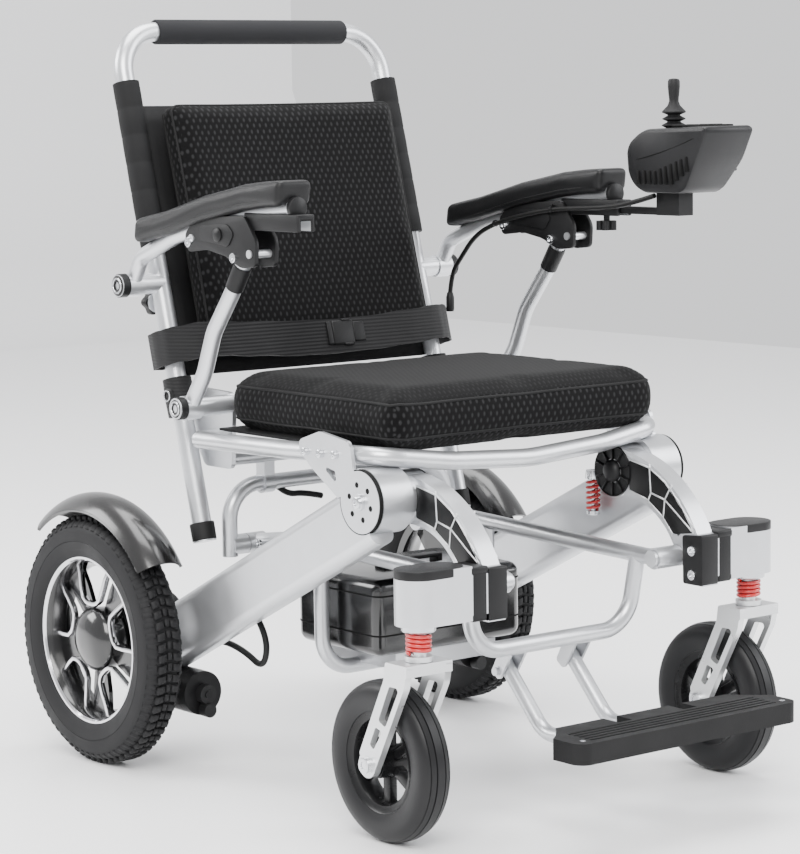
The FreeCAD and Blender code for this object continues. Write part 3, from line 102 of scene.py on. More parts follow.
# ---- cords --------------------------------------------------------------------
# Black rubber-sheathed leads: the controller's lead down beside the back post,
# a looped lead from each gear motor and a short lead strapped under the hoop.
def finish(name, colour, roughness, metallic=0.0, grain=0.15, grain_size=0.0012, mottle=0.12, coat=0.0):
    """Paint, plastic, rubber or metal with mottled colour, uneven gloss and a fine grain."""
    made = bpy.data.materials.new(name)
    made.use_nodes = True
    nodes, links = made.node_tree.nodes, made.node_tree.links
    shader = nodes["Principled BSDF"]
    shader.inputs["Metallic"].default_value = metallic
    shader.inputs["Coat Weight"].default_value = coat
    shader.inputs["Specular IOR Level"].default_value = 0.5 if metallic > 0.5 or coat > 0.2 else 0.22
    shader.inputs["Coat Roughness"].default_value = 0.12
    place = nodes.new("ShaderNodeTexCoord")
    cloud = nodes.new("ShaderNodeTexNoise")
    cloud.inputs["Scale"].default_value = 26.0
    cloud.inputs["Detail"].default_value = 5.0
    links.new(place.outputs["Object"], cloud.inputs["Vector"])
    tint = nodes.new("ShaderNodeValToRGB")
    tint.color_ramp.elements[0].position = 0.3
    tint.color_ramp.elements[0].color = [c * (1 - mottle) for c in colour] + [1]
    tint.color_ramp.elements[1].position = 0.7
    tint.color_ramp.elements[1].color = [min(1, c * (1 + mottle)) for c in colour] + [1]
    links.new(cloud.outputs["Fac"], tint.inputs["Fac"])
    links.new(tint.outputs["Color"], shader.inputs["Base Color"])
    gloss = nodes.new("ShaderNodeMapRange")
    gloss.inputs["From Min"].default_value = 0.3
    gloss.inputs["From Max"].default_value = 0.7
    gloss.inputs["To Min"].default_value = roughness * 0.88
    gloss.inputs["To Max"].default_value = min(1.0, roughness * 1.14)
    links.new(cloud.outputs["Fac"], gloss.inputs["Value"])
    links.new(gloss.outputs["Result"], shader.inputs["Roughness"])
    fine = nodes.new("ShaderNodeTexNoise")
    fine.inputs["Scale"].default_value = 1 / grain_size
    fine.inputs["Detail"].default_value = 2.0
    links.new(place.outputs["Object"], fine.inputs["Vector"])
    bump = nodes.new("ShaderNodeBump")
    bump.inputs["Strength"].default_value = grain
    bump.inputs["Distance"].default_value = 0.0004
    links.new(fine.outputs["Fac"], bump.inputs["Height"])
    links.new(bump.outputs["Normal"], shader.inputs["Normal"])
    return made


def lead(name, route, thickness):
    """A round lead on one smooth line through its route."""
    line = bpy.data.curves.new(name, "CURVE")
    line.dimensions = "3D"
    line.bevel_depth = thickness / 2
    line.bevel_resolution = 4
    line.use_fill_caps = True
    spline = line.splines.new("NURBS")
    spline.points.add(len(route) - 1)
    for point, place in zip(spline.points, route):
        point.co = (*place, 1)
    spline.order_u = 3
    spline.use_endpoint_u = True
    spline.resolution_u = 10
    made = bpy.data.objects.new(name, line)
    bpy.context.scene.collection.objects.link(made)
    made.data.materials.append(lead_rubber)
    return made


lead_rubber = finish("lead_rubber", (0.007, 0.007, 0.007), 0.46, grain=0.3, grain_size=0.0015)
CONTROLLER_ROUTE = [
    (0.231, -0.1649, 0.7144),
    (0.230, -0.1329, 0.706),
    (0.229, -0.0849, 0.698),
    (0.229, -0.0309, 0.696),
    (0.229, 0.0251, 0.693),
    (0.229, 0.0831, 0.684),
    (0.229, 0.1371, 0.672),
    (0.229, 0.1791, 0.655),
    (0.229, 0.2111, 0.622),
    (0.229, 0.2291, 0.602),
    (0.229, 0.2331, 0.574),
]
controller_lead = lead("controller_lead", CONTROLLER_ROUTE, 0.0064)
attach(controller_lead, "arm_left")
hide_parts("controller_cable")
MOTOR_ROUTE = [
    (0.197, 0.2631, 0.160),
    (0.197, 0.2211, 0.156),
    (0.197, 0.1691, 0.164),
    (0.197, 0.1231, 0.156),
    (0.197, 0.0871, 0.140),
    (0.197, 0.0751, 0.172),
    (0.197, 0.0971, 0.206),
    (0.197, 0.1271, 0.226),
]
motor_leads = []
for side, name in ((1, "motor_lead_left"), (-1, "motor_lead_right")):
    route = [(x * side, y, z) for x, y, z in MOTOR_ROUTE]
    made = lead(name, route, 0.008)
    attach(made, "chair_frame")
    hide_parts("motor_cables")
    motor_leads.append(made)
HOOP_ROUTE = [
    (-0.030, 0.1841, 0.330),
    (-0.058, 0.1841, 0.337),
    (-0.086, 0.1841, 0.337),
    (-0.102, 0.1841, 0.351),
]
hoop_lead = lead("hoop_lead", HOOP_ROUTE, 0.008)
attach(hoop_lead, "rear_hoop")
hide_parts("hoop_cable")


# ---- silver tubes ----------------------------------------------------------------
# Bent round aluminium tubes and flat-sided beams, sprayed a satin silver with a
# fine metallic fleck. The frame, back, arms and underframe all carry this paint.
def dress(material, *names):
    """Gives carried-over nodes their finish."""
    for name in names:
        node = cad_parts[name]
        if not node.material_slots:
            node.data.materials.append(material)
        for held in node.material_slots:
            held.material = material


silver_paint = finish(
    "silver_paint", (
        0.6,
        0.61,
        0.63,
    ), 0.33, metallic=0.82, grain=0.12, grain_size=0.0009, mottle=0.04, coat=0.25
)
dress(
    silver_paint,
    "seat_tube",
    "rear_cross_frame",
    "main_beam_left",
    "main_beam_right",
    "hub_plate_left",
    "hub_plate_right",
    "back_tube",
    "arm_frame_left",
    "arm_frame_right",
    "arm_support_left",
    "arm_support_right",
    "link_tube_left",
    "link_tube_right",
    "front_u_tube",
    "battery_cradle",
    "footrest_stems",
    "rear_hoop",
    "front_leg_left",
    "front_leg_right",
    "caster_housing_left",
    "caster_housing_right",
)


# ---- seat cushion ---------------------------------------------------------------
# A foam slab zipped into a spacer-mesh cover, swollen between its corners, with a
# corded seam round the top and bottom edges. It lies on the stretched seat panel.
def nothing_selected():
    if bpy.context.mode != "OBJECT":
        bpy.ops.object.mode_set(mode="OBJECT")
    bpy.ops.object.select_all(action="DESELECT")


def set_down(piece, name, material):
    """Names a piece, brings its place into its mesh and gives it its finish."""
    nothing_selected()
    piece.select_set(True)
    bpy.context.view_layer.objects.active = piece
    bpy.ops.object.transform_apply(location=True, rotation=True, scale=True)
    piece.name = name
    piece.data.materials.clear()
    piece.data.materials.append(material)
    return piece


def swell(pad, voxel, pressure, cap):
    """Closes the pad's skin to an even net and blows it up softly, no further than the cap."""
    nothing_selected()
    pad.select_set(True)
    bpy.context.view_layer.objects.active = pad
    remesh = pad.modifiers.new("net", "REMESH")
    remesh.mode = "VOXEL"
    remesh.voxel_size = voxel
    bpy.ops.object.modifier_apply(modifier=remesh.name)
    before = [v.co.copy() for v in pad.data.vertices]
    cloth = pad.modifiers.new("cloth", "CLOTH")
    cloth.settings.use_pressure = True
    cloth.settings.uniform_pressure_force = pressure
    cloth.settings.effector_weights.gravity = 0
    cloth.settings.quality = 5
    for number in range(1, 21):
        bpy.context.scene.frame_set(number)
    bpy.ops.object.modifier_apply(modifier=cloth.name)
    for vertex, start in zip(pad.data.vertices, before):
        move = vertex.co - start
        if move.length > cap:
            vertex.co = start + move * (cap / move.length)
    bpy.context.scene.frame_set(1)
    smooth = pad.modifiers.new("smooth", "SMOOTH")
    smooth.factor = 0.5
    smooth.iterations = 2
    bpy.ops.object.modifier_apply(modifier=smooth.name)
    bpy.ops.object.shade_smooth()


def flat_map(piece):
    """Lays the weave flat on each side of a piece, one unit to the metre."""
    nothing_selected()
    piece.select_set(True)
    bpy.context.view_layer.objects.active = piece
    bpy.ops.object.mode_set(mode="EDIT")
    bpy.ops.mesh.select_all(action="SELECT")
    bpy.ops.uv.cube_project(cube_size=2.0, correct_aspect=False, scale_to_bounds=False)
    bpy.ops.object.mode_set(mode="OBJECT")


def spacer_mesh(name, thread, spot, pitch, turn, depth):
    """Knitted mesh: slanting rows of small pale spots in dark thread, on the piece's own map."""
    made = bpy.data.materials.new(name)
    made.use_nodes = True
    nodes, links = made.node_tree.nodes, made.node_tree.links
    shader = nodes["Principled BSDF"]
    shader.inputs["Roughness"].default_value = 0.82
    shader.inputs["Sheen Weight"].default_value = 0.03
    shader.inputs["Sheen Roughness"].default_value = 0.5
    shader.inputs["Specular IOR Level"].default_value = 0.10
    place = nodes.new("ShaderNodeTexCoord")
    lay = nodes.new("ShaderNodeMapping")
    lay.inputs["Scale"].default_value = (1 / pitch, 0.62 / pitch, 1)
    lay.inputs["Rotation"].default_value = (0, 0, math.radians(turn))
    links.new(place.outputs["UV"], lay.inputs["Vector"])
    cells = nodes.new("ShaderNodeTexVoronoi")
    cells.voronoi_dimensions = "2D"
    cells.inputs["Scale"].default_value = 1.0
    cells.inputs["Randomness"].default_value = 0.12
    links.new(lay.outputs["Vector"], cells.inputs["Vector"])
    cloud = nodes.new("ShaderNodeTexNoise")
    cloud.inputs["Scale"].default_value = 9.0
    cloud.inputs["Detail"].default_value = 4.0
    links.new(place.outputs["Object"], cloud.inputs["Vector"])
    shade = nodes.new("ShaderNodeValToRGB")
    shade.color_ramp.elements[0].position = 0.14
    shade.color_ramp.elements[0].color = (*spot, 1)
    shade.color_ramp.elements[1].position = 0.34
    shade.color_ramp.elements[1].color = (*thread, 1)
    links.new(cells.outputs["Distance"], shade.inputs["Fac"])
    blend = nodes.new("ShaderNodeMix")
    blend.data_type = "RGBA"
    blend.blend_type = "MULTIPLY"
    blend.inputs["Factor"].default_value = 0.35
    links.new(shade.outputs["Color"], blend.inputs["A"])
    links.new(cloud.outputs["Fac"], blend.inputs["B"])
    links.new(blend.outputs["Result"], shader.inputs["Base Color"])
    bump = nodes.new("ShaderNodeBump")
    bump.inputs["Strength"].default_value = depth
    bump.inputs["Distance"].default_value = 0.0012
    links.new(cells.outputs["Distance"], bump.inputs["Height"])
    links.new(bump.outputs["Normal"], shader.inputs["Normal"])
    return made


def slab(name, low, high, corner, edge):
    """A block with rounded upright corners and softened rims."""
    nothing_selected()
    middle = [(a + b) / 2 for a, b in zip(low, high)]
    bpy.ops.mesh.primitive_cube_add(size=1, location=middle)
    piece = bpy.context.active_object
    piece.name = name
    piece.scale = [b - a for a, b in zip(low, high)]
    bpy.ops.object.transform_apply(location=True, rotation=False, scale=True)
    for line in piece.data.edges:
        a, b = [piece.data.vertices[i].co for i in line.vertices]
        line.select = abs(a[corner[0]] - b[corner[0]]) > 1e-6
    bpy.ops.object.mode_set(mode="EDIT")
    bpy.ops.mesh.select_mode(type="EDGE")
    bpy.ops.mesh.bevel(offset=corner[1], segments=6, affect="EDGES")
    bpy.ops.object.mode_set(mode="OBJECT")
    rim = piece.modifiers.new("rim", "BEVEL")
    rim.width = edge
    rim.segments = 4
    rim.limit_method = "ANGLE"
    rim.angle_limit = math.radians(60)
    bpy.ops.object.modifier_apply(modifier=rim.name)
    bpy.ops.object.shade_smooth()
    return piece


def piping(name, pad, points, thickness, material):
    """A sewn cord that closes on itself, pressed onto a pad's skin all the way round."""
    bpy.context.view_layer.update()
    line = bpy.data.curves.new(name, "CURVE")
    line.dimensions = "3D"
    line.bevel_depth = thickness / 2
    line.bevel_resolution = 2
    spline = line.splines.new("NURBS")
    spline.points.add(len(points) - 1)
    for point, place in zip(spline.points, points):
        point.co = (*pad.closest_point_on_mesh(place)[1], 1)
    spline.order_u = 3
    spline.use_cyclic_u = True
    spline.resolution_u = 4
    made = bpy.data.objects.new(name, line)
    bpy.context.scene.collection.objects.link(made)
    nothing_selected()
    made.select_set(True)
    bpy.context.view_layer.objects.active = made
    bpy.ops.object.convert(target="MESH")
    bpy.ops.object.shade_smooth()
    made.data.materials.append(material)
    return made


def edge_run(low, high, corner, level, along):
    """Points round a rounded rectangle at one level of an axis."""
    a, b = [i for i in range(3) if i != along]
    low_a, high_a, low_b, high_b = low[a], high[a], low[b], high[b]
    flat = []
    for ca, cb, start in (
        (high_a - corner, high_b - corner, 0),
        (low_a + corner, high_b - corner, 90),
        (low_a + corner, low_b + corner, 180),
        (high_a - corner, low_b + corner, 270),
    ):
        for turn in (0, 22, 45, 68, 90):
            way = math.radians(start + turn)
            flat.append((ca + corner * math.cos(way), cb + corner * math.sin(way)))
    filled = []
    for first, second in zip(flat, flat[1:] + flat[:1]):
        filled.append(first)
        gap = math.dist(first, second)
        for step in range(1, int(gap / 0.03)):
            part = step * 0.03 / gap
            filled.append(
                (first[0] + (second[0] - first[0]) * part, first[1] + (second[1] - first[1]) * part)
            )
    points = []
    for va, vb in filled:
        point = [0.0, 0.0, 0.0]
        point[a], point[b], point[along] = va, vb, level
        points.append(tuple(point))
    return points


side_mesh = spacer_mesh("spacer_mesh", (0.0022, 0.0022, 0.0024), (0.020, 0.020, 0.021), 0.0034, 45, 0.3)
top_mesh = spacer_mesh("seat_top_mesh", (0.0045, 0.0045, 0.0048), (0.012, 0.012, 0.0125), 0.0026, 45, 0.2)
seam_thread = finish("seam_cord", (0.0049, 0.0049, 0.0051), 0.7, grain=0.5, grain_size=0.002)
SEAT_LOW, SEAT_HIGH = (-0.2148, -0.2006, 0.4375), (0.2148, 0.1428, 0.5010)
seat_cover = slab("seat_cover", SEAT_LOW, SEAT_HIGH, (2, 0.026), 0.006)
swell(seat_cover, 0.0055, 4.0, 0.007)
flat_map(seat_cover)
seat_cover.data.materials.clear()
seat_cover.data.materials.append(side_mesh)
seat_cover.data.materials.append(top_mesh)
for face in seat_cover.data.polygons:
    if face.normal.z > 0.55:
        face.material_index = 1
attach(seat_cover, "chair_frame")
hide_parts("seat_cushion")
for name, level in (("seat_seam_top", 0.4960), ("seat_seam_bottom", 0.4425)):
    seam = piping(name, seat_cover, edge_run(SEAT_LOW, SEAT_HIGH, 0.026, level, 2), 0.0036, seam_thread)
    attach(seam, "chair_frame")
sling_cloth = finish("panel_nylon", (0.0065, 0.0065, 0.007), 0.72, grain=0.5, grain_size=0.0011)
dress(sling_cloth, "seat_pan")


# ---- back cushion ----------------------------------------------------------------
# The same spacer mesh over a thin foam board, corded round its front rim, hung in
# front of the posts and leaning back with them.
POST_FOOT = Vector((0, 0.1921, 0.2893))


def lean_back(piece):
    """Tips a piece made upright back to the posts' recline."""
    turn = Matrix.Rotation(math.radians(-15.2), 4, "X")
    piece.data.transform(Matrix.Translation(POST_FOOT) @ turn @ Matrix.Translation(-POST_FOOT))


BACK_LOW, BACK_HIGH = (-0.1832, 0.1412, 0.5205), (0.1832, 0.1776, 0.8480)
back_cover = slab("back_cover", BACK_LOW, BACK_HIGH, (1, 0.016), 0.006)
swell(back_cover, 0.0050, 4.0, 0.006)
back_seams = []
for name, level in (("back_seam_front", 0.1450), ("back_seam_rear", 0.1740)):
    back_seams.append(
        piping(name, back_cover, edge_run(BACK_LOW, BACK_HIGH, 0.016, level, 1), 0.0034, seam_thread)
    )
flat_map(back_cover)
back_cover.data.materials.clear()
back_cover.data.materials.append(side_mesh)
for piece in [back_cover, *back_seams]:
    lean_back(piece)
    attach(piece, "backrest")
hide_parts("back_cushion")


# ---- back sling -----------------------------------------------------------------
# Black nylon stretched between the posts, with a sewn sleeve round each of them.
# The sleeves are stitched across at every tab and pucker a little between.
bpy.ops.mesh.primitive_plane_add(size=1, location=(0, 0.1925, 0.6765), rotation=(math.pi / 2, 0, 0))
sling = bpy.context.active_object
sling.scale = (0.400, 0.352, 1)
set_down(sling, "back_sling_cloth", sling_cloth)
bpy.ops.object.mode_set(mode="EDIT")
bpy.ops.mesh.subdivide(number_cuts=15)
bpy.ops.object.mode_set(mode="OBJECT")
for vertex in sling.data.vertices:
    across = 1 - (vertex.co.x / 0.2) ** 2
    vertex.co.y += 0.006 * across * (0.6 + 0.4 * math.sin((vertex.co.z - 0.50) * 18))
cloth_wall = sling.modifiers.new("cloth_wall", "SOLIDIFY")
cloth_wall.thickness = 0.0016
bpy.ops.object.modifier_apply(modifier=cloth_wall.name)
bpy.ops.object.shade_smooth()
lean_back(sling)
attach(sling, "backrest")


def turned(name, profile, centre, axis, steps=40):
    """Turns a profile of (radius, along) about an axis through a centre."""
    nothing_selected()
    along = {"x": Vector((1, 0, 0)), "y": Vector((0, 1, 0)), "z": Vector((0, 0, 1))}[axis]
    out = {"x": Vector((0, 0, 1)), "y": Vector((0, 0, 1)), "z": Vector((1, 0, 0))}[axis]
    centre = Vector(centre)
    places = [centre + out * radius + along * step for radius, step in profile]
    bpy.ops.mesh.primitive_plane_add(size=0.001, location=places[0])
    piece = bpy.context.active_object
    bpy.ops.object.transform_apply(location=True, rotation=True, scale=True)
    bpy.ops.object.mode_set(mode="EDIT")
    bpy.ops.mesh.select_mode(type="VERT")
    bpy.ops.mesh.select_all(action="SELECT")
    bpy.ops.mesh.merge(type="CENTER")
    for start, end in zip(places, places[1:]):
        bpy.ops.mesh.extrude_vertices_move(TRANSFORM_OT_translate={"value": end - start})
    bpy.ops.mesh.select_all(action="SELECT")
    bpy.ops.mesh.spin(steps=steps, angle=2 * math.pi, center=centre, axis=along)
    bpy.ops.mesh.select_all(action="SELECT")
    bpy.ops.mesh.remove_doubles(threshold=0.00002)
    bpy.ops.mesh.normals_make_consistent(inside=False)
    bpy.ops.object.mode_set(mode="OBJECT")
    bpy.ops.object.shade_smooth_by_angle(angle=math.radians(38))
    piece.name = name
    return piece


def other_side(piece, name):
    """The same piece mirrored for the chair's right side, with a mesh of its own."""
    copy = piece.copy()
    copy.data = piece.data.copy()
    bpy.context.scene.collection.objects.link(copy)
    copy.data.transform(Matrix.Scale(-1, 4, (1, 0, 0)))
    copy.data.flip_normals()
    copy.name = name
    return copy


def both_sides(piece, name, body, material, after=None):
    """Sets a left piece down with its right twin; SIDE in the body's name is each one's side."""
    set_down(piece, name + "_left", material)
    twin = other_side(piece, name + "_right")
    for made, side in ((piece, "left"), (twin, "right")):
        if after:
            after(made)
        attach(made, body.replace("SIDE", side))
    return piece, twin


rows = []
height = 0.6685
while height < 0.851:
    rows += [(0.0166, height), (0.0170, height + 0.002), (0.0172, height + 0.018), (0.0170, height + 0.034)]
    height += 0.036
sleeve_profile = [(0.0131, 0.6685)] + rows + [(0.0162, 0.8505), (0.0131, 0.8515)]
sleeve = turned("sleeve", sleeve_profile + sleeve_profile[:1], (0.208, 0.1921, 0), "z", 28)
sleeves = both_sides(sleeve, "post_sleeve", "backrest", sling_cloth, lean_back)
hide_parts("back_sling")


# ---- push handle ------------------------------------------------------------------
# A dark grey foam grip pushed over the top of the back tube, with rounded ends.
foam = finish("grip_foam", (0.0149, 0.0151, 0.0167), 0.85, grain=0.8, grain_size=0.0014, mottle=0.2)
grip = turned(
    "push_handle_grip",
    [
        (0.0127, -0.151),
        (0.0147, -0.151),
        (0.0160, -0.149),
        (0.0160, -0.05),
        (0.0160, 0.05),
        (0.0160, 0.149),
        (0.0147, 0.151),
        (0.0127, 0.151),
    ],
    (0, 0.36535, 0.927),
    "x",
    36,
)
set_down(grip, "push_handle_grip", foam)
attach(grip, "backrest")
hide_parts("push_grip")


# ---- post fittings -----------------------------------------------------------------
# Black rubber feet on the posts, star knobs behind them and moulded caps with a
# bright washer over the bolts that the arms and their supports turn on.
black_rubber = finish("black_rubber", (0.007, 0.007, 0.0073), 0.6, grain=0.3)
black_plastic = finish(
    "black_plastic",
    (0.0081, 0.0081, 0.0086),
    0.42,
    grain=0.35,
    grain_size=0.0008,
    mottle=0.15,
)
bright_steel = finish("bright_steel", (0.62, 0.63, 0.65), 0.22, metallic=1.0, grain=0.1, mottle=0.05)
foot = turned(
    "foot",
    [(0, 0.2884), (0.0128, 0.2884), (0.0155, 0.2905), (0.0158, 0.3110), (0.0150, 0.3125), (0.0125, 0.3125)],
    (0.208, 0.1921, 0),
    "z",
    32,
)
both_sides(foot, "post_foot", "backrest", black_rubber, lean_back)


def bolt_cap(name, place, radius, proud, body):
    """A domed moulded cap with a hexagon pocket, standing on a bright washer."""
    cap = turned(
        name,
        [
            (0, proud - 0.0022),
            (radius * 0.34, proud - 0.0022),
            (radius * 0.36, proud),
            (radius * 0.74, proud - 0.0004),
            (radius, proud - 0.0030),
            (radius, 0.0),
            (0, 0.0),
        ],
        place,
        "x",
        24,
    )
    both_sides(cap, name, body, black_plastic)
    ring = turned(
        name + "_washer",
        [
            (radius * 0.50, proud - 0.0006),
            (radius * 0.54, proud + 0.0004),
            (radius * 0.66, proud + 0.0004),
            (radius * 0.70, proud - 0.0008),
            (radius * 0.50, proud - 0.0006),
        ],
        place,
        "x",
        24,
    )
    both_sides(ring, name + "_washer", body, bright_steel)


bolt_cap("arm_bolt_cap", (0.2612, 0.279096, 0.6095), 0.0150, 0.0125, "backrest")
bolt_cap("support_bolt_cap", (0.2612, 0.1561, 0.4640), 0.0140, 0.0118, "chair_frame")
bolt_cap("back_hinge_cap", (0.2238, 0.2412, 0.4700), 0.0110, 0.0040, "chair_frame")
knob = turned(
    "knob",
    [(0.0052, 0.018), (0.0142, 0.0165), (0.0150, 0.0180), (0.0150, 0.0270), (0.0120, 0.0300), (0, 0.0300)],
    (0.208, 0.2724, 0.585),
    "y",
    40,
)
for vertex in knob.data.vertices:
    spoke = math.atan2(vertex.co.z - 0.585, vertex.co.x - 0.208)
    swing = 1 + 0.12 * math.cos(5 * spoke)
    vertex.co.x = 0.208 + (vertex.co.x - 0.208) * swing
    vertex.co.z = 0.585 + (vertex.co.z - 0.585) * swing
both_sides(knob, "post_knob", "backrest", black_plastic)


# ---- lap belt -------------------------------------------------------------------
# Wide black webbing carried round the posts and across the foot of the cushion,
# joined by a moulded side-squeeze buckle that slides on it.
def webbing(name, colour, rib):
    """Woven strap: ribs along its length with a fine cross weave."""
    made = finish(name, colour, 0.66, grain=0.3, grain_size=0.0012)
    nodes, links = made.node_tree.nodes, made.node_tree.links
    shader = nodes["Principled BSDF"]
    shader.inputs["Sheen Weight"].default_value = 0.05
    place = nodes.new("ShaderNodeTexCoord")
    ribs = nodes.new("ShaderNodeTexWave")
    ribs.bands_direction = "Z"
    ribs.inputs["Scale"].default_value = 1 / rib / 3.14
    ribs.inputs["Distortion"].default_value = 0.4
    ribs.inputs["Detail Scale"].default_value = 8.0
    links.new(place.outputs["Object"], ribs.inputs["Vector"])
    raised = nodes.new("ShaderNodeBump")
    raised.inputs["Strength"].default_value = 0.5
    raised.inputs["Distance"].default_value = 0.0008
    links.new(ribs.outputs["Fac"], raised.inputs["Height"])
    links.new(nodes["Bump"].outputs["Normal"], raised.inputs["Normal"])
    links.new(raised.outputs["Normal"], shader.inputs["Normal"])
    return made


belt_webbing = webbing("belt_webbing", (0.007, 0.007, 0.0076), 0.0045)
BELT_PLAN = [
    (-0.2085, 0.2150),
    (-0.2260, 0.2120),
    (-0.2300, 0.1950),
    (-0.2270, 0.1700),
    (-0.2060, 0.1460),
    (-0.1800, 0.1310),
    (-0.1300, 0.1278),
    (-0.0600, 0.1268),
    (0.0000, 0.1272),
    (0.0600, 0.1266),
    (0.1300, 0.1274),
    (0.1800, 0.1310),
    (0.2060, 0.1460),
    (0.2270, 0.1700),
    (0.2300, 0.1950),
    (0.2260, 0.2120),
    (0.2085, 0.2150),
]
nothing_selected()
bpy.ops.mesh.primitive_plane_add(size=0.001, location=(*BELT_PLAN[0], 0.5155))
belt = bpy.context.active_object
bpy.ops.object.transform_apply(location=True, rotation=True, scale=True)
bpy.ops.object.mode_set(mode="EDIT")
bpy.ops.mesh.select_mode(type="VERT")
bpy.ops.mesh.select_all(action="SELECT")
bpy.ops.mesh.merge(type="CENTER")
for start, end in zip(BELT_PLAN, BELT_PLAN[1:]):
    step = (end[0] - start[0], end[1] - start[1], 0)
    bpy.ops.mesh.extrude_vertices_move(TRANSFORM_OT_translate={"value": step})
bpy.ops.mesh.select_all(action="SELECT")
bpy.ops.mesh.subdivide(number_cuts=2, smoothness=0.6)
bpy.ops.mesh.select_mode(type="EDGE")
for rise in (0.012, 0.011, 0.011, 0.011):
    bpy.ops.mesh.extrude_region_move(TRANSFORM_OT_translate={"value": (0, 0, rise)})
bpy.ops.object.mode_set(mode="OBJECT")
for vertex in belt.data.vertices:
    x = vertex.co.x
    sag = 0.010 * (1 - min(1, abs(x) / 0.19) ** 2)
    twist = 0.0022 * math.sin(x * 34) * (vertex.co.z - 0.5385) / 0.023
    vertex.co.z += -0.002 - sag * 1.1
    if abs(x) < 0.17:
        vertex.co.y += twist - 0.001
bpy.ops.object.mode_set(mode="EDIT")
bpy.ops.mesh.select_all(action="SELECT")
bpy.ops.mesh.normals_make_consistent(inside=False)
bpy.ops.object.mode_set(mode="OBJECT")
strap_wall = belt.modifiers.new("strap_wall", "SOLIDIFY")
strap_wall.thickness = 0.0022
strap_wall.offset = 0
bpy.ops.object.modifier_apply(modifier=strap_wall.name)
bpy.ops.object.shade_smooth_by_angle(angle=math.radians(40))
set_down(belt, "lap_belt_webbing", belt_webbing)
lean_back(belt)
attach(belt, "backrest")
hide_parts("lap_belt")


def bevelled_block(name, low, high, width, segments=3):
    """A block with all its edges rounded."""
    nothing_selected()
    bpy.ops.mesh.primitive_cube_add(size=1, location=[(a + b) / 2 for a, b in zip(low, high)])
    piece = bpy.context.active_object
    piece.scale = [b - a for a, b in zip(low, high)]
    bpy.ops.object.transform_apply(location=True, rotation=True, scale=True)
    bpy.ops.object.mode_set(mode="EDIT")
    bpy.ops.mesh.select_all(action="SELECT")
    bpy.ops.mesh.bevel(offset=width, segments=segments, affect="EDGES")
    bpy.ops.object.mode_set(mode="OBJECT")
    bpy.ops.object.shade_smooth_by_angle(angle=math.radians(50))
    piece.name = name
    return piece


def one_piece(pieces):
    """Joins loose pieces into the first of them."""
    nothing_selected()
    for piece in pieces:
        piece.select_set(True)
    bpy.context.view_layer.objects.active = pieces[0]
    bpy.ops.object.join()
    return pieces[0]


buckle = one_piece(
    [
        bevelled_block("buckle", (-0.004, 0.1215, 0.5130), (0.030, 0.1275, 0.5450), 0.0024),
        bevelled_block("buckle_tongue", (0.030, 0.1222, 0.5160), (0.048, 0.1270, 0.5420), 0.0018),
        bevelled_block("buckle_bar", (-0.012, 0.1220, 0.5140), (-0.004, 0.1270, 0.5440), 0.0016),
        bevelled_block("buckle_press_low", (0.012, 0.1208, 0.5115), (0.026, 0.1265, 0.5150), 0.0014),
        bevelled_block("buckle_press_high", (0.012, 0.1208, 0.5430), (0.026, 0.1265, 0.5465), 0.0014),
    ]
)
set_down(buckle, "lap_belt_buckle", black_plastic)
lean_back(buckle)
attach(buckle, "backrest")
wrap = turned(
    "wrap",
    [(0.0130, 0.452), (0.0185, 0.450), (0.0192, 0.470), (0.0182, 0.498), (0.0130, 0.496), (0.0130, 0.452)],
    (0.208, 0.1921, 0),
    "z",
    28,
)
both_sides(wrap, "belt_wrap", "backrest", belt_webbing, lean_back)
# ---- arm pads ----------------------------------------------------------------------
# Moulded foam in a black skin with a soft leather grain, following the slope of the
# arm tube, blunt at the front, with a parting line low down its sides.
def grained_skin(name, colour):
    """Moulded skin with a pebbled grain and a soft gloss."""
    made = finish(name, colour, 0.40, grain=0.2, grain_size=0.0006, mottle=0.1)
    nodes, links = made.node_tree.nodes, made.node_tree.links
    shader = nodes["Principled BSDF"]
    place = nodes.new("ShaderNodeTexCoord")
    pebbles = nodes.new("ShaderNodeTexVoronoi")
    pebbles.inputs["Scale"].default_value = 620.0
    links.new(place.outputs["Object"], pebbles.inputs["Vector"])
    raised = nodes.new("ShaderNodeBump")
    raised.inputs["Strength"].default_value = 0.22
    raised.inputs["Distance"].default_value = 0.0005
    links.new(pebbles.outputs["Distance"], raised.inputs["Height"])
    links.new(nodes["Bump"].outputs["Normal"], raised.inputs["Normal"])
    links.new(raised.outputs["Normal"], shader.inputs["Normal"])
    return made


pad_skin = grained_skin("pad_skin", (0.0081, 0.0081, 0.0086))
PAD_RUN = [
    (0.2380, 0.6790),
    (0.1761, 0.6905),
    (0.1320, 0.7010),
    (0.0891, 0.7112),
    (0.0450, 0.7190),
    (0.0061, 0.7258),
    (-0.0340, 0.7295),
    (-0.0698, 0.7315),
]
nothing_selected()
bpy.ops.mesh.primitive_plane_add(size=1, location=(0.25, *PAD_RUN[0]), rotation=(math.radians(98), 0, 0))
pad = bpy.context.active_object
pad.scale = (0.0498, 0.0300, 1)
bpy.ops.object.transform_apply(location=True, rotation=True, scale=True)
bpy.ops.object.mode_set(mode="EDIT")
bpy.ops.mesh.select_mode(type="FACE")
bpy.ops.mesh.select_all(action="SELECT")
for start, end in zip(PAD_RUN, PAD_RUN[1:]):
    step = (0, end[0] - start[0], end[1] - start[1])
    bpy.ops.mesh.extrude_region_move(TRANSFORM_OT_translate={"value": step})
bpy.ops.mesh.select_all(action="SELECT")
bpy.ops.mesh.normals_make_consistent(inside=False)
bpy.ops.object.mode_set(mode="OBJECT")
rounded = pad.modifiers.new("rounded", "BEVEL")
rounded.width = 0.0065
rounded.segments = 4
rounded.limit_method = "ANGLE"
rounded.angle_limit = math.radians(50)
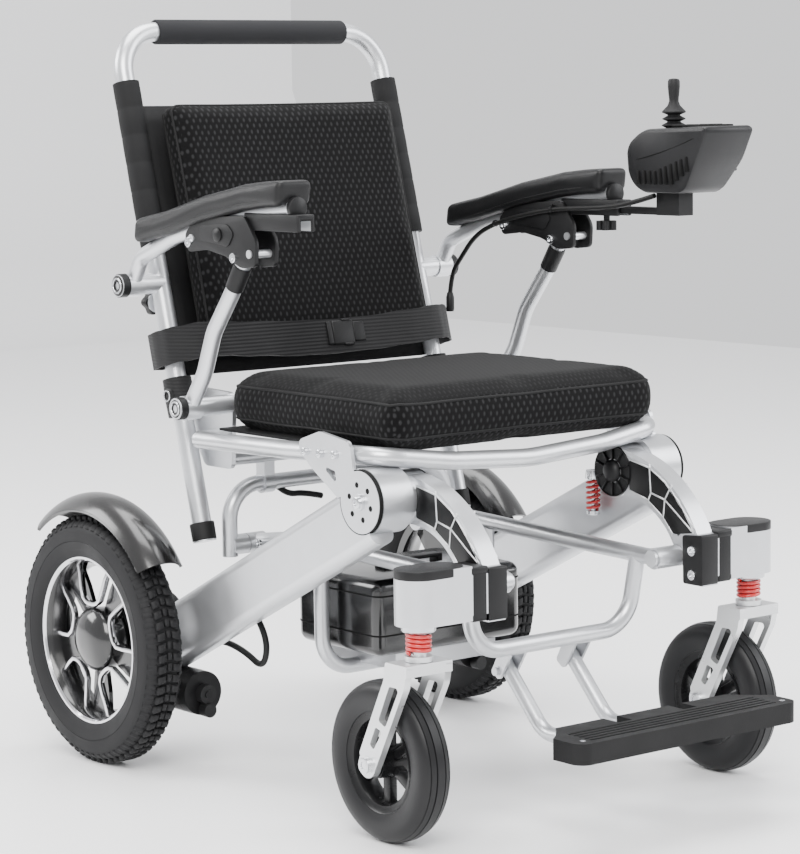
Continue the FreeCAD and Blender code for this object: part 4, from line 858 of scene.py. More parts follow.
bpy.ops.object.modifier_apply(modifier=rounded.name)
swell(pad, 0.0028, 3.0, 0.0008)
bpy.ops.object.shade_smooth()
pads = both_sides(pad, "arm_cushion", "arm_SIDE", pad_skin)
for made, node in zip(pads, ("arm_pad_left", "arm_pad_right")):
    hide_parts(node)
loop = [(0.274, y, z - 0.0075) for y, z in PAD_RUN[:-1]] + [(0.272, -0.069, 0.7240), (0.250, -0.070, 0.7240)]
loop += [(0.228, -0.069, 0.7240)] + [(0.226, y, z - 0.0075) for y, z in reversed(PAD_RUN[:-1])]
loop += [(0.250, 0.239, 0.6690)]
parting = piping("parting", pads[0], loop, 0.0016, pad_skin)
both_sides(parting, "arm_cushion_seam", "arm_SIDE", pad_skin)


# ---- arm latches ---------------------------------------------------------------------
# Black moulded quadrants either side of each arm's folding joint, bolted through,
# with a raised rim, a boss, and the slotted rail that the controller's bar slides in.
def cut_plate(name, outline, x0, x1, corner, edge):
    """A flat plate across the chair with a rounded (y, z) outline and eased edges."""
    nothing_selected()
    bpy.ops.mesh.primitive_circle_add(vertices=len(outline), radius=0.01, fill_type="NGON")
    piece = bpy.context.active_object
    for vertex, (y, z) in zip(piece.data.vertices, outline):
        vertex.co = (x0, y, z)
    bpy.ops.object.mode_set(mode="EDIT")
    bpy.ops.mesh.select_mode(type="VERT")
    bpy.ops.mesh.select_all(action="SELECT")
    bpy.ops.mesh.bevel(offset=corner, segments=4, affect="VERTICES")
    bpy.ops.mesh.select_all(action="SELECT")
    bpy.ops.mesh.extrude_region_move(TRANSFORM_OT_translate={"value": (x1 - x0, 0, 0)})
    bpy.ops.mesh.select_all(action="SELECT")
    bpy.ops.mesh.normals_make_consistent(inside=False)
    bpy.ops.object.mode_set(mode="OBJECT")
    eased = piece.modifiers.new("eased", "BEVEL")
    eased.width = edge
    eased.segments = 2
    eased.limit_method = "ANGLE"
    eased.angle_limit = math.radians(60)
    bpy.ops.object.modifier_apply(modifier=eased.name)
    bpy.ops.object.shade_smooth_by_angle(angle=math.radians(35))
    piece.name = name
    return piece


LATCH = [
    (0.1105, 0.7000),
    (0.1350, 0.6790),
    (0.1285, 0.6570),
    (0.0875, 0.6612),
    (0.0490, 0.6545),
    (0.0185, 0.6412),
    (-0.0110, 0.6440),
    (-0.0130, 0.6735),
    (0.0100, 0.7040),
]
LATCH_POCKET = [
    (0.1000, 0.6900),
    (0.1020, 0.6720),
    (0.0700, 0.6700),
    (0.0420, 0.6660),
    (0.0300, 0.6820),
    (0.0420, 0.6930),
]
shells = []
for x0, x1 in ((0.2615, 0.2672), (0.2328, 0.2385)):
    shells.append(cut_plate("shell", LATCH, x0, x1, 0.006, 0.0012))
    out = 1 if x0 > 0.25 else -1
    face = x1 if out > 0 else x0
    shells.append(cut_plate("rib", LATCH_POCKET, face - 0.001, face + out * 0.0016, 0.005, 0.0006))
latches = both_sides(one_piece(shells), "arm_latch", "arm_SIDE", black_plastic)


def bolt_head(place, way, radius, high):
    """A round socket head with a chamfer and a pocket for the key."""
    axis = "x" if way[0] else ("y" if way[1] else "z")
    sign = sum(way)
    profile = [
        (0, high * 0.45),
        (radius * 0.48, high * 0.45),
        (radius * 0.50, high),
        (radius * 0.84, high),
        (radius, high * 0.80),
        (radius, -0.0005),
        (0, -0.0005),
    ]
    return turned("bolt", [(r, a * sign) for r, a in profile], place, axis, 12)


heads = []
for x, way in ((0.2672, 1), (0.2328, -1)):
    for y, z, size in ((0.1238, 0.6694, 0.0062), (0.0307, 0.6536, 0.0060)):
        heads.append(bolt_head((x, y, z), (way, 0, 0), size, 0.0042))
both_sides(one_piece(heads), "arm_latch_bolts", "arm_SIDE", bright_steel)
boss = turned(
    "boss",
    [(0, 0.0048), (0.0060, 0.0048), (0.0085, 0.0030), (0.0085, 0.0), (0, 0.0)],
    (0.2675, 0.0620, 0.6800),
    "x",
    24,
)
both_sides(boss, "arm_latch_boss", "arm_SIDE", black_plastic)
tube_end = turned(
    "tube_end",
    [
        (0.0115, 0.0),
        (0.0130, -0.0006),
        (0.0134, -0.0030),
        (0.0128, -0.0064),
        (0.0110, -0.0076),
        (0, -0.0080),
        (0, 0),
        (0.0115, 0.0),
    ],
    (0.25, -0.0690, 0.7146),
    "y",
    32,
)
both_sides(tube_end, "arm_tube_end", "arm_SIDE", black_plastic)
sleeve_top = turned(
    "sleeve_top",
    [(0.0102, -0.034), (0.0112, -0.033), (0.0114, -0.004), (0.0108, 0.0), (0.0102, 0.0), (0.0102, -0.034)],
    (0, 0, 0),
    "z",
    24,
)
slope = Vector((0, -31, 46)).to_track_quat("Z", "Y").to_matrix().to_4x4()
sleeve_top.data.transform(Matrix.Translation((0.25, 0.0375, 0.6430)) @ slope)
both_sides(sleeve_top, "support_sleeve", "arm_support_SIDE", black_plastic)
rail = bevelled_block("rail", (0.2375, -0.0900, 0.6868), (0.2625, 0.0165, 0.7072), 0.0015, 2)
rail_gap = bevelled_block("rail_gap", (0.2425, -0.0920, 0.6850), (0.2575, 0.0180, 0.6996), 0.0008, 2)
nothing_selected()
gap_cut = rail.modifiers.new("gap_cut", "BOOLEAN")
gap_cut.object = rail_gap
gap_cut.operation = "DIFFERENCE"
bpy.context.view_layer.objects.active = rail
bpy.ops.object.modifier_apply(modifier=gap_cut.name)
bpy.data.objects.remove(rail_gap)
both_sides(rail, "arm_rail", "arm_SIDE", black_plastic)


# ---- controller ------------------------------------------------------------------------
# A two-shell moulded pod: a smooth upper shell that sweeps up to the nose and a lower
# shell with cooling slots, parted by a thin groove. It sits on the bar in the arm rail.
pod_plastic = finish("pod_plastic", (0.0108, 0.0108, 0.0116), 0.40, grain=0.4, grain_size=0.0007, mottle=0.1)
# Near-black for the key panel, its own colour, and for painted shade: the pod's groove and cooling slots, the
# hub holes and gap and the battery's recessed band.
painted_shade_and_panel_black = finish("painted_shade_and_panel_black", (0.0016, 0.0016, 0.0016), 0.8)
POD_SIDE = [
    (-0.1355, 0.7360),
    (-0.1372, 0.7780),
    (-0.1649, 0.7965),
    (-0.2808, 0.8008),
    (-0.2600, 0.7580),
    (-0.2310, 0.7183),
    (-0.1529, 0.7183),
]


def pod_shell():
    """The pod's closed side outline drawn across it, with well rounded edges and a narrow foot."""
    shell = cut_plate("pod", POD_SIDE, 0.2085, 0.2915, 0.011, 0.0085)
    for vertex in shell.data.vertices:
        height = (vertex.co.z - 0.7183) / 0.0825
        narrow = 0.80 + 0.20 * min(1.0, max(0.0, height) * 2.0)
        vertex.co.x = 0.25 + (vertex.co.x - 0.25) * narrow
    return shell


shell = set_down(pod_shell(), "pod_housing", pod_plastic)
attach(shell, "controller")
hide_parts("controller_box")
# Painted shade: the groove between the two shells is drawn as a thin near-black cord on the pod's skin.
seam_run = []
for y, z in ((-0.1385, 0.7560), (-0.1700, 0.7620), (-0.2060, 0.7700), (-0.2400, 0.7800), (-0.2680, 0.7900)):
    seam_run.append((0.2925, y, z))
seam_run += [(0.25, -0.2810, 0.7950)]
seam_run += [(0.5 - x, y, z) for x, y, z in reversed(seam_run[:-1])] + [(0.25, -0.1350, 0.7550)]
pod_groove_shade = piping("pod_groove_shade", shell, seam_run, 0.0014, painted_shade_and_panel_black)
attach(pod_groove_shade, "controller")
# Painted shade: the cooling slots are drawn as near-black blocks set into the lower shell's sides.
vents = []
bpy.context.view_layer.update()
for step in range(10):
    y = -0.1560 - step * 0.0098
    low, high = 0.7290 + 0.0052 * max(0, step - 6), 0.7460 + 0.0030 * max(0, step - 3)
    for side in (1, -1):
        face = shell.closest_point_on_mesh((0.25 + side * 0.06, y, (low + high) / 2))[1].x
        vents.append(
            bevelled_block(
                "fin",
                (face - 0.0030, y - 0.0020, low),
                (face + 0.0030, y + 0.0020, high),
                0.0014,
                2,
            )
        )
pod_vent_shade = set_down(one_piece(vents), "pod_vent_shade", painted_shade_and_panel_black)
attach(pod_vent_shade, "controller")
panel = bevelled_block("panel", (0.2210, -0.2545, 0.7990), (0.2790, -0.2060, 0.8020), 0.0012, 2)
set_down(panel, "pod_key_panel", painted_shade_and_panel_black)
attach(panel, "controller")
key_gloss = finish("key_gloss", (0.0054, 0.0054, 0.0059), 0.18, grain=0.1)
dress(key_gloss, "power_button", "speed_rocker")
dress(black_plastic, "controller_mount", "freewheel_lever_left", "freewheel_lever_right")
dress(bright_steel, "joystick_gimbal")


# ---- joystick ---------------------------------------------------------------------------
# A moulded rubber boot of three thin flared folds under a waisted black knob, on the
# shaft that tilts in the gimbal.
boot_rubber = finish("boot_rubber", (0.0097, 0.0097, 0.0103), 0.55, grain=0.3, grain_size=0.0008)
stick = turned(
    "stick",
    [
        (0, 0.7815),
        (0.0040, 0.7815),
        (0.0040, 0.7955),
        (0.0080, 0.7965),
        (0.0150, 0.8000),
        (0.0152, 0.8012),
        (0.0085, 0.8045),
        (0.0084, 0.8055),
        (0.0142, 0.8080),
        (0.0144, 0.8092),
        (0.0080, 0.8125),
        (0.0078, 0.8135),
        (0.0146, 0.8162),
        (0.0149, 0.8176),
        (0.0078, 0.8250),
        (0.0060, 0.8300),
        (0.0060, 0.8330),
        (0.0068, 0.8400),
        (0.0075, 0.8480),
        (0.0074, 0.8545),
        (0.0062, 0.8572),
        (0.0020, 0.8580),
        (0, 0.8580),
    ],
    (0.25, -0.1799, 0),
    "z",
    48,
)
set_down(stick, "joystick_boot", boot_rubber)
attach(stick, "joystick_stick")
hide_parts("joystick_stick")


# ---- drive wheels ------------------------------------------------------------------------
# Block-tread tyres with wide plain sidewalls on gloss-black cast rims: five U-shaped
# spokes with polished faces, open through the U, a polished lip and a domed cap.
AXLE_Y, AXLE_Z = 0.3111, 0.1588
tyre_rubber = finish("tyre_rubber", (0.0097, 0.0097, 0.0105), 0.62, grain=0.5, grain_size=0.0011, mottle=0.18)
carcass = turned(
    "carcass",
    [
        (0.1062, -0.020),
        (0.1085, -0.0215),
        (0.1120, -0.0235),
        (0.1180, -0.0262),
        (0.1280, -0.0276),
        (0.1400, -0.0268),
        (0.1470, -0.0245),
        (0.1515, -0.0195),
        (0.1540, -0.0100),
        (0.1545, 0.0),
        (0.1540, 0.0100),
        (0.1515, 0.0195),
        (0.1470, 0.0245),
        (0.1400, 0.0268),
        (0.1280, 0.0276),
        (0.1276, 0.0270),
        (0.1268, 0.0276),
        (0.1180, 0.0262),
        (0.1120, 0.0235),
        (0.1085, 0.0215),
        (0.1062, 0.0200),
        (0.1062, -0.020),
    ],
    (0.290, AXLE_Y, AXLE_Z),
    "x",
    96,
)
lugs = []
for low, high, top, lean in (
    ((0.2640, 0.1440), (0.2740, 0.1490), 0.0030, 0),
    ((0.2750, 0.1505), (0.2850, 0.1588), 0.0, 1),
    ((0.2870, 0.1530), (0.2930, 0.1588), 0.0, 0),
    ((0.2950, 0.1505), (0.3050, 0.1588), 0.0, -1),
    ((0.3060, 0.1440), (0.3160, 0.1490), 0.0030, 0),
):
    wide = 0.0046 if top == 0 else 0.0034
    lug = bevelled_block(
        "lug",
        (low[0], AXLE_Y - wide, AXLE_Z + low[1]),
        (high[0], AXLE_Y + wide, AXLE_Z + high[1]),
        0.0008,
        1,
    )
    for vertex in lug.data.vertices:
        out = abs(vertex.co.x - 0.290)
        if vertex.co.z - AXLE_Z > 0.147:
            vertex.co.z -= max(0, out - 0.010) ** 2 * 14
        if top:
            vertex.co.z += (0.0275 - out) * 0.55
        vertex.co.y += lean * (vertex.co.x - 0.290) * 0.25
    lugs.append(lug)
ring_of_lugs = one_piece(lugs)
bpy.ops.object.mode_set(mode="EDIT")
bpy.ops.mesh.select_all(action="SELECT")
bpy.ops.mesh.spin(steps=72, angle=2 * math.pi, center=(0.29, AXLE_Y, AXLE_Z), axis=(1, 0, 0), dupli=True)
bpy.ops.mesh.select_all(action="SELECT")
bpy.ops.mesh.remove_doubles(threshold=0.00001)
bpy.ops.object.mode_set(mode="OBJECT")
tyres = both_sides(one_piece([carcass, ring_of_lugs]), "drive_tyre", "rear_wheel_SIDE", tyre_rubber)
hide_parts("rear_tyre_left")
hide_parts("rear_tyre_right")
rim_black = finish("rim_black", (0.0043, 0.0043, 0.0046), 0.16, grain=0.08, coat=0.6)
rim_polish = finish("rim_polish", (0.66, 0.66, 0.68), 0.12, metallic=1.0, grain=0.06, mottle=0.04)
dish = turned(
    "dish",
    [
        (0.0955, -0.0175),
        (0.1062, -0.0190),
        (0.1062, 0.0190),
        (0.1020, 0.0185),
        (0.0985, 0.0120),
        (0.0965, 0.0020),
        (0.0925, -0.0040),
        (0.0925, -0.0100),
        (0.0955, -0.0175),
    ],
    (0.290, AXLE_Y, AXLE_Z),
    "x",
    72,
)
hub = turned(
    "hub",
    [
        (0.0101, -0.0195),
        (0.0360, -0.0195),
        (0.0400, -0.0100),
        (0.0412, 0.0070),
        (0.0405, 0.0105),
        (0.0370, 0.0160),
        (0.0300, 0.0210),
        (0.0200, 0.0245),
        (0.0100, 0.0257),
        (0, 0.0260),
        (0, 0.0150),
        (0.0101, 0.0145),
        (0.0101, -0.0195),
    ],
    (0.290, AXLE_Y, AXLE_Z),
    "x",
    48,
)
webs = []
for turn in range(5):
    nothing_selected()
    bpy.ops.mesh.primitive_circle_add(vertices=6, radius=0.01, fill_type="NGON")
    web = bpy.context.active_object
    for vertex, (radius, around) in zip(
        web.data.vertices, ((0.036, -20), (0.070, -15), (0.0975, -11), (0.0975, 11), (0.070, 15), (0.036, 20))
    ):
        way = math.radians(around + turn * 72 + 36)
        vertex.co = (0.2855, AXLE_Y + radius * math.sin(way), AXLE_Z + radius * math.cos(way))
    bpy.ops.object.mode_set(mode="EDIT")
    bpy.ops.mesh.select_all(action="SELECT")
    bpy.ops.mesh.extrude_region_move(TRANSFORM_OT_translate={"value": (0.006, 0, 0)})
    bpy.ops.mesh.select_all(action="SELECT")
    bpy.ops.mesh.normals_make_consistent(inside=False)
    bpy.ops.object.mode_set(mode="OBJECT")
    webs.append(web)
rims = both_sides(one_piece([dish, hub, *webs]), "drive_rim", "rear_wheel_SIDE", rim_black)
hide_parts("rear_rim_left")
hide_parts("rear_rim_right")
spokes = []
for turn in range(5):
    nothing_selected()
    bpy.ops.mesh.primitive_plane_add(size=0.001)
    spoke = bpy.context.active_object
    bpy.ops.object.mode_set(mode="EDIT")
    bpy.ops.mesh.select_mode(type="VERT")
    bpy.ops.mesh.merge(type="CENTER")
    path = []
    for radius, around in (
        (0.1000, -21),
        (0.0860, -20),
        (0.0700, -20.5),
        (0.0560, -20),
        (0.0490, -14),
        (0.0465, -7),
        (0.0460, 0),
        (0.0465, 7),
        (0.0490, 14),
        (0.0560, 20),
        (0.0700, 20.5),
        (0.0860, 20),
        (0.1000, 21),
    ):
        way = math.radians(around + turn * 72)
        path.append(Vector((0.2975, AXLE_Y + radius * math.sin(way), AXLE_Z + radius * math.cos(way))))
    last = Vector((0, 0, 0))
    for place in path:
        bpy.ops.mesh.extrude_vertices_move(TRANSFORM_OT_translate={"value": place - last})
        last = place
    bpy.ops.object.mode_set(mode="OBJECT")
    middle = Vector((0.2975, AXLE_Y, AXLE_Z))
    bpy.ops.object.mode_set(mode="EDIT")
    bpy.ops.mesh.select_all(action="DESELECT")
    bpy.ops.object.mode_set(mode="OBJECT")
    spoke.data.vertices[0].select = True
    bpy.ops.object.mode_set(mode="EDIT")
    bpy.ops.mesh.delete(type="VERT")
    bpy.ops.mesh.select_all(action="SELECT")
    bpy.ops.mesh.extrude_edges_move(TRANSFORM_OT_translate={"value": (0.0075, 0, 0)})
    bpy.ops.object.mode_set(mode="OBJECT")
    for vertex in spoke.data.vertices:
        radius = (vertex.co - middle).yz.length
        vertex.co.x -= 0.0045 * max(0, (radius - 0.06) / 0.04)
    wall = spoke.modifiers.new("wall", "SOLIDIFY")
    wall.thickness = 0.0052
    wall.offset = 0
    bpy.ops.object.modifier_apply(modifier=wall.name)
    ease = spoke.modifiers.new("ease", "BEVEL")
    ease.width = 0.0011
    ease.segments = 2
    ease.limit_method = "ANGLE"
    bpy.ops.object.modifier_apply(modifier=ease.name)
    bpy.ops.object.shade_smooth_by_angle(angle=math.radians(35))
    spokes.append(spoke)
lip = turned(
    "lip",
    [
        (0.1020, 0.0188),
        (0.1040, 0.0212),
        (0.1068, 0.0212),
        (0.1074, 0.0192),
        (0.1050, 0.0170),
        (0.1020, 0.0188),
    ],
    (0.290, AXLE_Y, AXLE_Z),
    "x",
    96,
)
both_sides(one_piece([*spokes, lip]), "drive_rim_spokes", "rear_wheel_SIDE", rim_polish)


# ---- fenders -------------------------------------------------------------------------------
# Arched gloss-black mudguards, pressed in one piece, with a rolled bead along the rim.
fender_gloss = finish("fender_gloss", (0.0054, 0.0051, 0.0051), 0.24, grain=0.15, grain_size=0.002, coat=0.4)
dress(fender_gloss, "fender_left", "fender_right")
bead = turned(
    "bead",
    [(0.1668, 0.0262), (0.1686, 0.0272), (0.1668, 0.0280), (0.1650, 0.0272), (0.1668, 0.0262)],
    (0.29, AXLE_Y, AXLE_Z),
    "x",
    120,
)
bpy.ops.object.mode_set(mode="EDIT")
bpy.ops.mesh.select_mode(type="VERT")
bpy.ops.mesh.select_all(action="DESELECT")
bpy.ops.object.mode_set(mode="OBJECT")
for vertex in bead.data.vertices:
    way = math.degrees(math.atan2(vertex.co.z - AXLE_Z, vertex.co.y - AXLE_Y))
    vertex.select = not 51.5 < way < 142.5
bpy.ops.object.mode_set(mode="EDIT")
bpy.ops.mesh.delete(type="VERT")
bpy.ops.mesh.select_all(action="SELECT")
bpy.ops.mesh.fill_holes(sides=0)
bpy.ops.object.mode_set(mode="OBJECT")
both_sides(bead, "fender_bead", "chair_frame", fender_gloss)


# ---- casters -----------------------------------------------------------------------------
# Solid polyurethane tyres with four fine grooves on black moulded wheels with open
# spokes, in cast silver forks, on red coil springs between bright washers.
SWIVEL_Y, SPIN_Y, SPIN_Z = -0.2994, -0.2444, 0.0935
solid_rubber = finish("solid_rubber", (0.0092, 0.0092, 0.01), 0.40, grain=0.2, grain_size=0.0015, mottle=0.12)
half_tyre = [
    (0.0580, 0.0140),
    (0.0592, 0.0172),
    (0.0615, 0.0180),
    (0.0640, 0.0188),
    (0.0700, 0.0200),
    (0.0770, 0.0202),
    (0.0840, 0.0190),
    (0.0885, 0.0160),
    (0.0905, 0.0135),
    (0.0893, 0.0128),
    (0.0913, 0.0120),
    (0.0930, 0.0068),
    (0.0916, 0.0062),
    (0.0916, 0.0056),
    (0.0934, 0.0050),
]
tyre_profile = half_tyre + [(r, -a) for r, a in reversed(half_tyre)]
tyre = turned("tyre", tyre_profile + tyre_profile[:1], (0.2593, SPIN_Y, SPIN_Z), "x", 72)
casters = both_sides(tyre, "caster_tyre", "caster_wheel_SIDE", solid_rubber)
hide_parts("caster_wheel_left")
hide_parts("caster_wheel_right")
core = turned(
    "core",
    [
        (0.0061, -0.0225),
        (0.0170, -0.0225),
        (0.0185, -0.0080),
        (0.0185, 0.0080),
        (0.0170, 0.0225),
        (0.0061, 0.0225),
        (0.0061, -0.0225),
    ],
    (0.2593, SPIN_Y, SPIN_Z),
    "x",
    40,
)
band = turned(
    "band",
    [
        (0.0470, -0.0075),
        (0.0500, -0.0135),
        (0.0575, -0.0150),
        (0.0590, -0.0165),
        (0.0592, 0.0165),
        (0.0575, 0.0150),
        (0.0500, 0.0135),
        (0.0470, 0.0075),
        (0.0470, -0.0075),
    ],
    (0.2593, SPIN_Y, SPIN_Z),
    "x",
    60,
)
arms = []
for turn in range(6):
    arm = bevelled_block(
        "arm",
        (0.2533, SPIN_Y - 0.0062, SPIN_Z + 0.014),
        (0.2653, SPIN_Y + 0.0062, SPIN_Z + 0.049),
        0.002,
        2,
    )
    arm.data.transform(
        Matrix.Translation((0, SPIN_Y, SPIN_Z))
        @ Matrix.Rotation(math.radians(turn * 60), 4, "X")
        @ Matrix.Translation((0, -SPIN_Y, -SPIN_Z))
    )
    arms.append(arm)
wheel_black = finish("wheel_black", (0.0065, 0.0065, 0.007), 0.28, grain=0.15)
both_sides(one_piece([core, band, *arms]), "caster_core", "caster_wheel_SIDE", wheel_black)
cast_silver = finish(
    "cast_silver",
    (0.66, 0.67, 0.68),
    0.30,
    metallic=0.75,
    grain=0.18,
    grain_size=0.0012,
    mottle=0.04,
    coat=0.2,
)
dress(cast_silver, "caster_fork_left", "caster_fork_right", "caster_stem_left", "caster_stem_right")
heads = []
for x, way in ((0.2593 + 0.0369, 1), (0.2593 - 0.0369, -1)):
    heads.append(bolt_head((x, SPIN_Y, SPIN_Z), (way, 0, 0), 0.0094, 0.0018))
both_sides(one_piece(heads), "caster_axle_heads", "caster_fork_SIDE", bright_steel)
spring_red = finish("spring_red", (0.5, 0.012, 0.014), 0.28, grain=0.1, coat=0.5)


def coil(name, place, radius, wire, low, high, turns):
    """A round-wire spring wound upwards between two heights."""
    nothing_selected()
    bpy.ops.mesh.primitive_circle_add(
        vertices=8,
        radius=wire,
        location=(radius, 0, 0),
        rotation=(math.pi / 2, 0, 0),
    )
    spring = bpy.context.active_object
    bpy.ops.object.transform_apply(location=True, rotation=True, scale=True)
    wind = spring.modifiers.new("wind", "SCREW")
    wind.axis = "Z"
    wind.angle = 2 * math.pi * turns
    wind.screw_offset = high - low
    wind.steps = wind.render_steps = int(22 * turns)
    bpy.ops.object.modifier_apply(modifier=wind.name)
    bpy.ops.object.mode_set(mode="EDIT")
    bpy.ops.mesh.select_all(action="SELECT")
    bpy.ops.mesh.fill_holes(sides=0)
    bpy.ops.mesh.normals_make_consistent(inside=False)
    bpy.ops.object.mode_set(mode="OBJECT")
    bpy.ops.object.shade_smooth()
    spring.data.transform(Matrix.Translation((place[0], place[1], low)))
    spring.name = name
    return spring


spring = coil("spring", (0.2593, SWIVEL_Y), 0.0128, 0.0024, 0.2262, 0.2490, 4.5)
set_down(spring, "caster_coil_left", spring_red)
springs = (spring, other_side(spring, "caster_coil_right"))
for made, side in zip(springs, ("left", "right")):
    x = 0.2593 if side == "left" else -0.2593
    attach(made, "front_leg_" + side)
    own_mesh(made)
    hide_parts("caster_spring_" + side)
washer = turned(
    "washer",
    [
        (0.0095, 0.2500),
        (0.0178, 0.2500),
        (0.0186, 0.2508),
        (0.0196, 0.2515),
        (0.0196, 0.2572),
        (0.0186, 0.2581),
        (0.0095, 0.2581),
        (0.0095, 0.2500),
    ],
    (0.2593, SWIVEL_Y, 0),
    "z",
    40,
)
both_sides(washer, "spring_washer", "front_leg_SIDE", bright_steel)
nothing_selected()
bpy.ops.mesh.primitive_circle_add(
    vertices=64,
    radius=0.0274,
    fill_type="NGON",
    location=(0.2593, SWIVEL_Y, 0.3105),
)
cap = bpy.context.active_object
bpy.ops.object.transform_apply(location=True)
for vertex in cap.data.vertices:
    if vertex.co.x < 0.2590:
        inward = (0.2593 - vertex.co.x) / 0.0274
        vertex.co.x = 0.2593 - 0.0560 * inward**0.35
bpy.ops.object.mode_set(mode="EDIT")
bpy.ops.mesh.select_all(action="SELECT")
bpy.ops.mesh.extrude_region_move(TRANSFORM_OT_translate={"value": (0, 0, 0.0104)})
bpy.ops.mesh.select_all(action="SELECT")
bpy.ops.mesh.normals_make_consistent(inside=False)
bpy.ops.object.mode_set(mode="OBJECT")
ease = cap.modifiers.new("ease", "BEVEL")
ease.width = 0.0010
ease.segments = 3
ease.limit_method = "ANGLE"
ease.angle_limit = math.radians(60)
bpy.ops.object.modifier_apply(modifier=ease.name)
bpy.ops.object.shade_smooth_by_angle(angle=math.radians(40))
both_sides(cap, "caster_cap", "front_leg_SIDE", black_plastic)
clamp = bevelled_block("clamp", (0.1810, -0.3268, 0.2560), (0.2036, -0.2860, 0.3160), 0.003, 3)
clamp_lip = bevelled_block("clamp_lip", (0.1800, -0.3272, 0.3100), (0.2045, -0.2850, 0.3185), 0.002, 2)
both_sides(one_piece([clamp, clamp_lip]), "leg_clamp", "front_leg_SIDE", black_plastic)
foot_plate = cut_plate(
    "foot",
    [(-0.3275, 0.2545), (-0.2945, 0.2545), (-0.2935, 0.3130), (-0.3275, 0.3160)],
    0.1525,
    0.1800,
    0.003,
    0.001,
)
both_sides(foot_plate, "leg_foot", "front_leg_SIDE", black_plastic)
heads = [bolt_head((0.1525, -0.3120, z), (-1, 0, 0), 0.0062, 0.0040) for z in (0.2960, 0.2668)]
both_sides(one_piece(heads), "leg_foot_bolts", "front_leg_SIDE", bright_steel)


# ---- front legs -----------------------------------------------------------------------------
# Cast silver blades, relieved to a black core on both faces with thin bright ribs, and
# a fan of short ribs round the domed bolt where the blade turns on the hub.
core_black = finish("core_black", (0.0043, 0.0043, 0.0046), 0.34, grain=0.3)
CORE = [
    (-0.1990, 0.3960),
    (-0.2350, 0.3890),
    (-0.2620, 0.3740),
    (-0.2860, 0.3520),
    (-0.3060, 0.3270),
    (-0.3110, 0.3170),
    (-0.2760, 0.3120),
    (-0.2560, 0.3330),
    (-0.2300, 0.3500),
    (-0.1990, 0.3580),
]
cores = []
for x0, x1 in ((0.1542, 0.1580), (0.1790, 0.1806)):
    cores.append(cut_plate("core", CORE, x0, x1, 0.004, 0.0004))
both_sides(one_piece(cores), "leg_core", "front_leg_SIDE", core_black)
RIBS = [
    ((-0.2349, 0.3935), (-0.2375, 0.3585)),
    ((-0.2375, 0.3585), (-0.2319, 0.3460)),
    ((-0.2375, 0.3585), (-0.2619, 0.3525)),
    ((-0.2619, 0.3525), (-0.2739, 0.3715)),
    ((-0.2619, 0.3525), (-0.2589, 0.3270)),
    ((-0.2619, 0.3525), (-0.3090, 0.3190)),
    ((-0.2739, 0.3640), (-0.3120, 0.3230)),
]
bars = []
for start, end in RIBS:
    for x0, x1 in ((0.1535, 0.1560), (0.1795, 0.1814)):
        run = math.dist(start, end)
        bar = bevelled_block("bar", (x0, -0.0011, 0), (x1, 0.0011, run), 0.0005, 1)
        lean = math.atan2(-(end[0] - start[0]), end[1] - start[1])
        bar.data.transform(Matrix.Translation((0, *start)) @ Matrix.Rotation(lean, 4, "X"))
        bars.append(bar)
for edge_points in (CORE[:6], CORE[6:]):
    for start, end in zip(edge_points, edge_points[1:]):
        for x0, x1 in ((0.1535, 0.1560), (0.1795, 0.1812)):
            run = math.dist(start, end) + 0.001
            bar = bevelled_block("bar", (x0, -0.0010, 0), (x1, 0.0010, run), 0.0004, 1)
            lean = math.atan2(-(end[0] - start[0]), end[1] - start[1])
            bar.data.transform(Matrix.Translation((0, *start)) @ Matrix.Rotation(lean, 4, "X"))
            bars.append(bar)
both_sides(one_piece(bars), "leg_ribs", "front_leg_SIDE", cast_silver)
HUB_Y, HUB_Z = -0.1692, 0.379
fan = [
    turned(
        "fan",
        [
            (0.0150, 0.1548),
            (0.0300, 0.1548),
            (0.0318, 0.1530),
            (0.0325, 0.1560),
            (0.0150, 0.1566),
            (0.0150, 0.1548),
        ],
        (0, HUB_Y, HUB_Z),
        "x",
        48,
    )
]
for turn in range(10):
    blade = bevelled_block(
        "blade",
        (0.1522, HUB_Y - 0.0011, HUB_Z + 0.014),
        (0.1560, HUB_Y + 0.0011, HUB_Z + 0.0305),
        0.0005,
        1,
    )
    blade.data.transform(
        Matrix.Translation((0, HUB_Y, HUB_Z))
        @ Matrix.Rotation(math.radians(turn * 36), 4, "X")
        @ Matrix.Translation((0, -HUB_Y, -HUB_Z))
    )
    fan.append(blade)
both_sides(one_piece(fan), "leg_hub_fan", "front_leg_SIDE", core_black)
dome = turned(
    "dome",
    [(0, 0.1455), (0.0060, 0.1460), (0.0105, 0.1478), (0.0135, 0.1510), (0.0140, 0.1548), (0, 0.1548)],
    (0, HUB_Y, HUB_Z),
    "x",
    32,
)
both_sides(dome, "hub_dome", "chair_frame", black_plastic)
dress(bright_steel, "hub_axles")


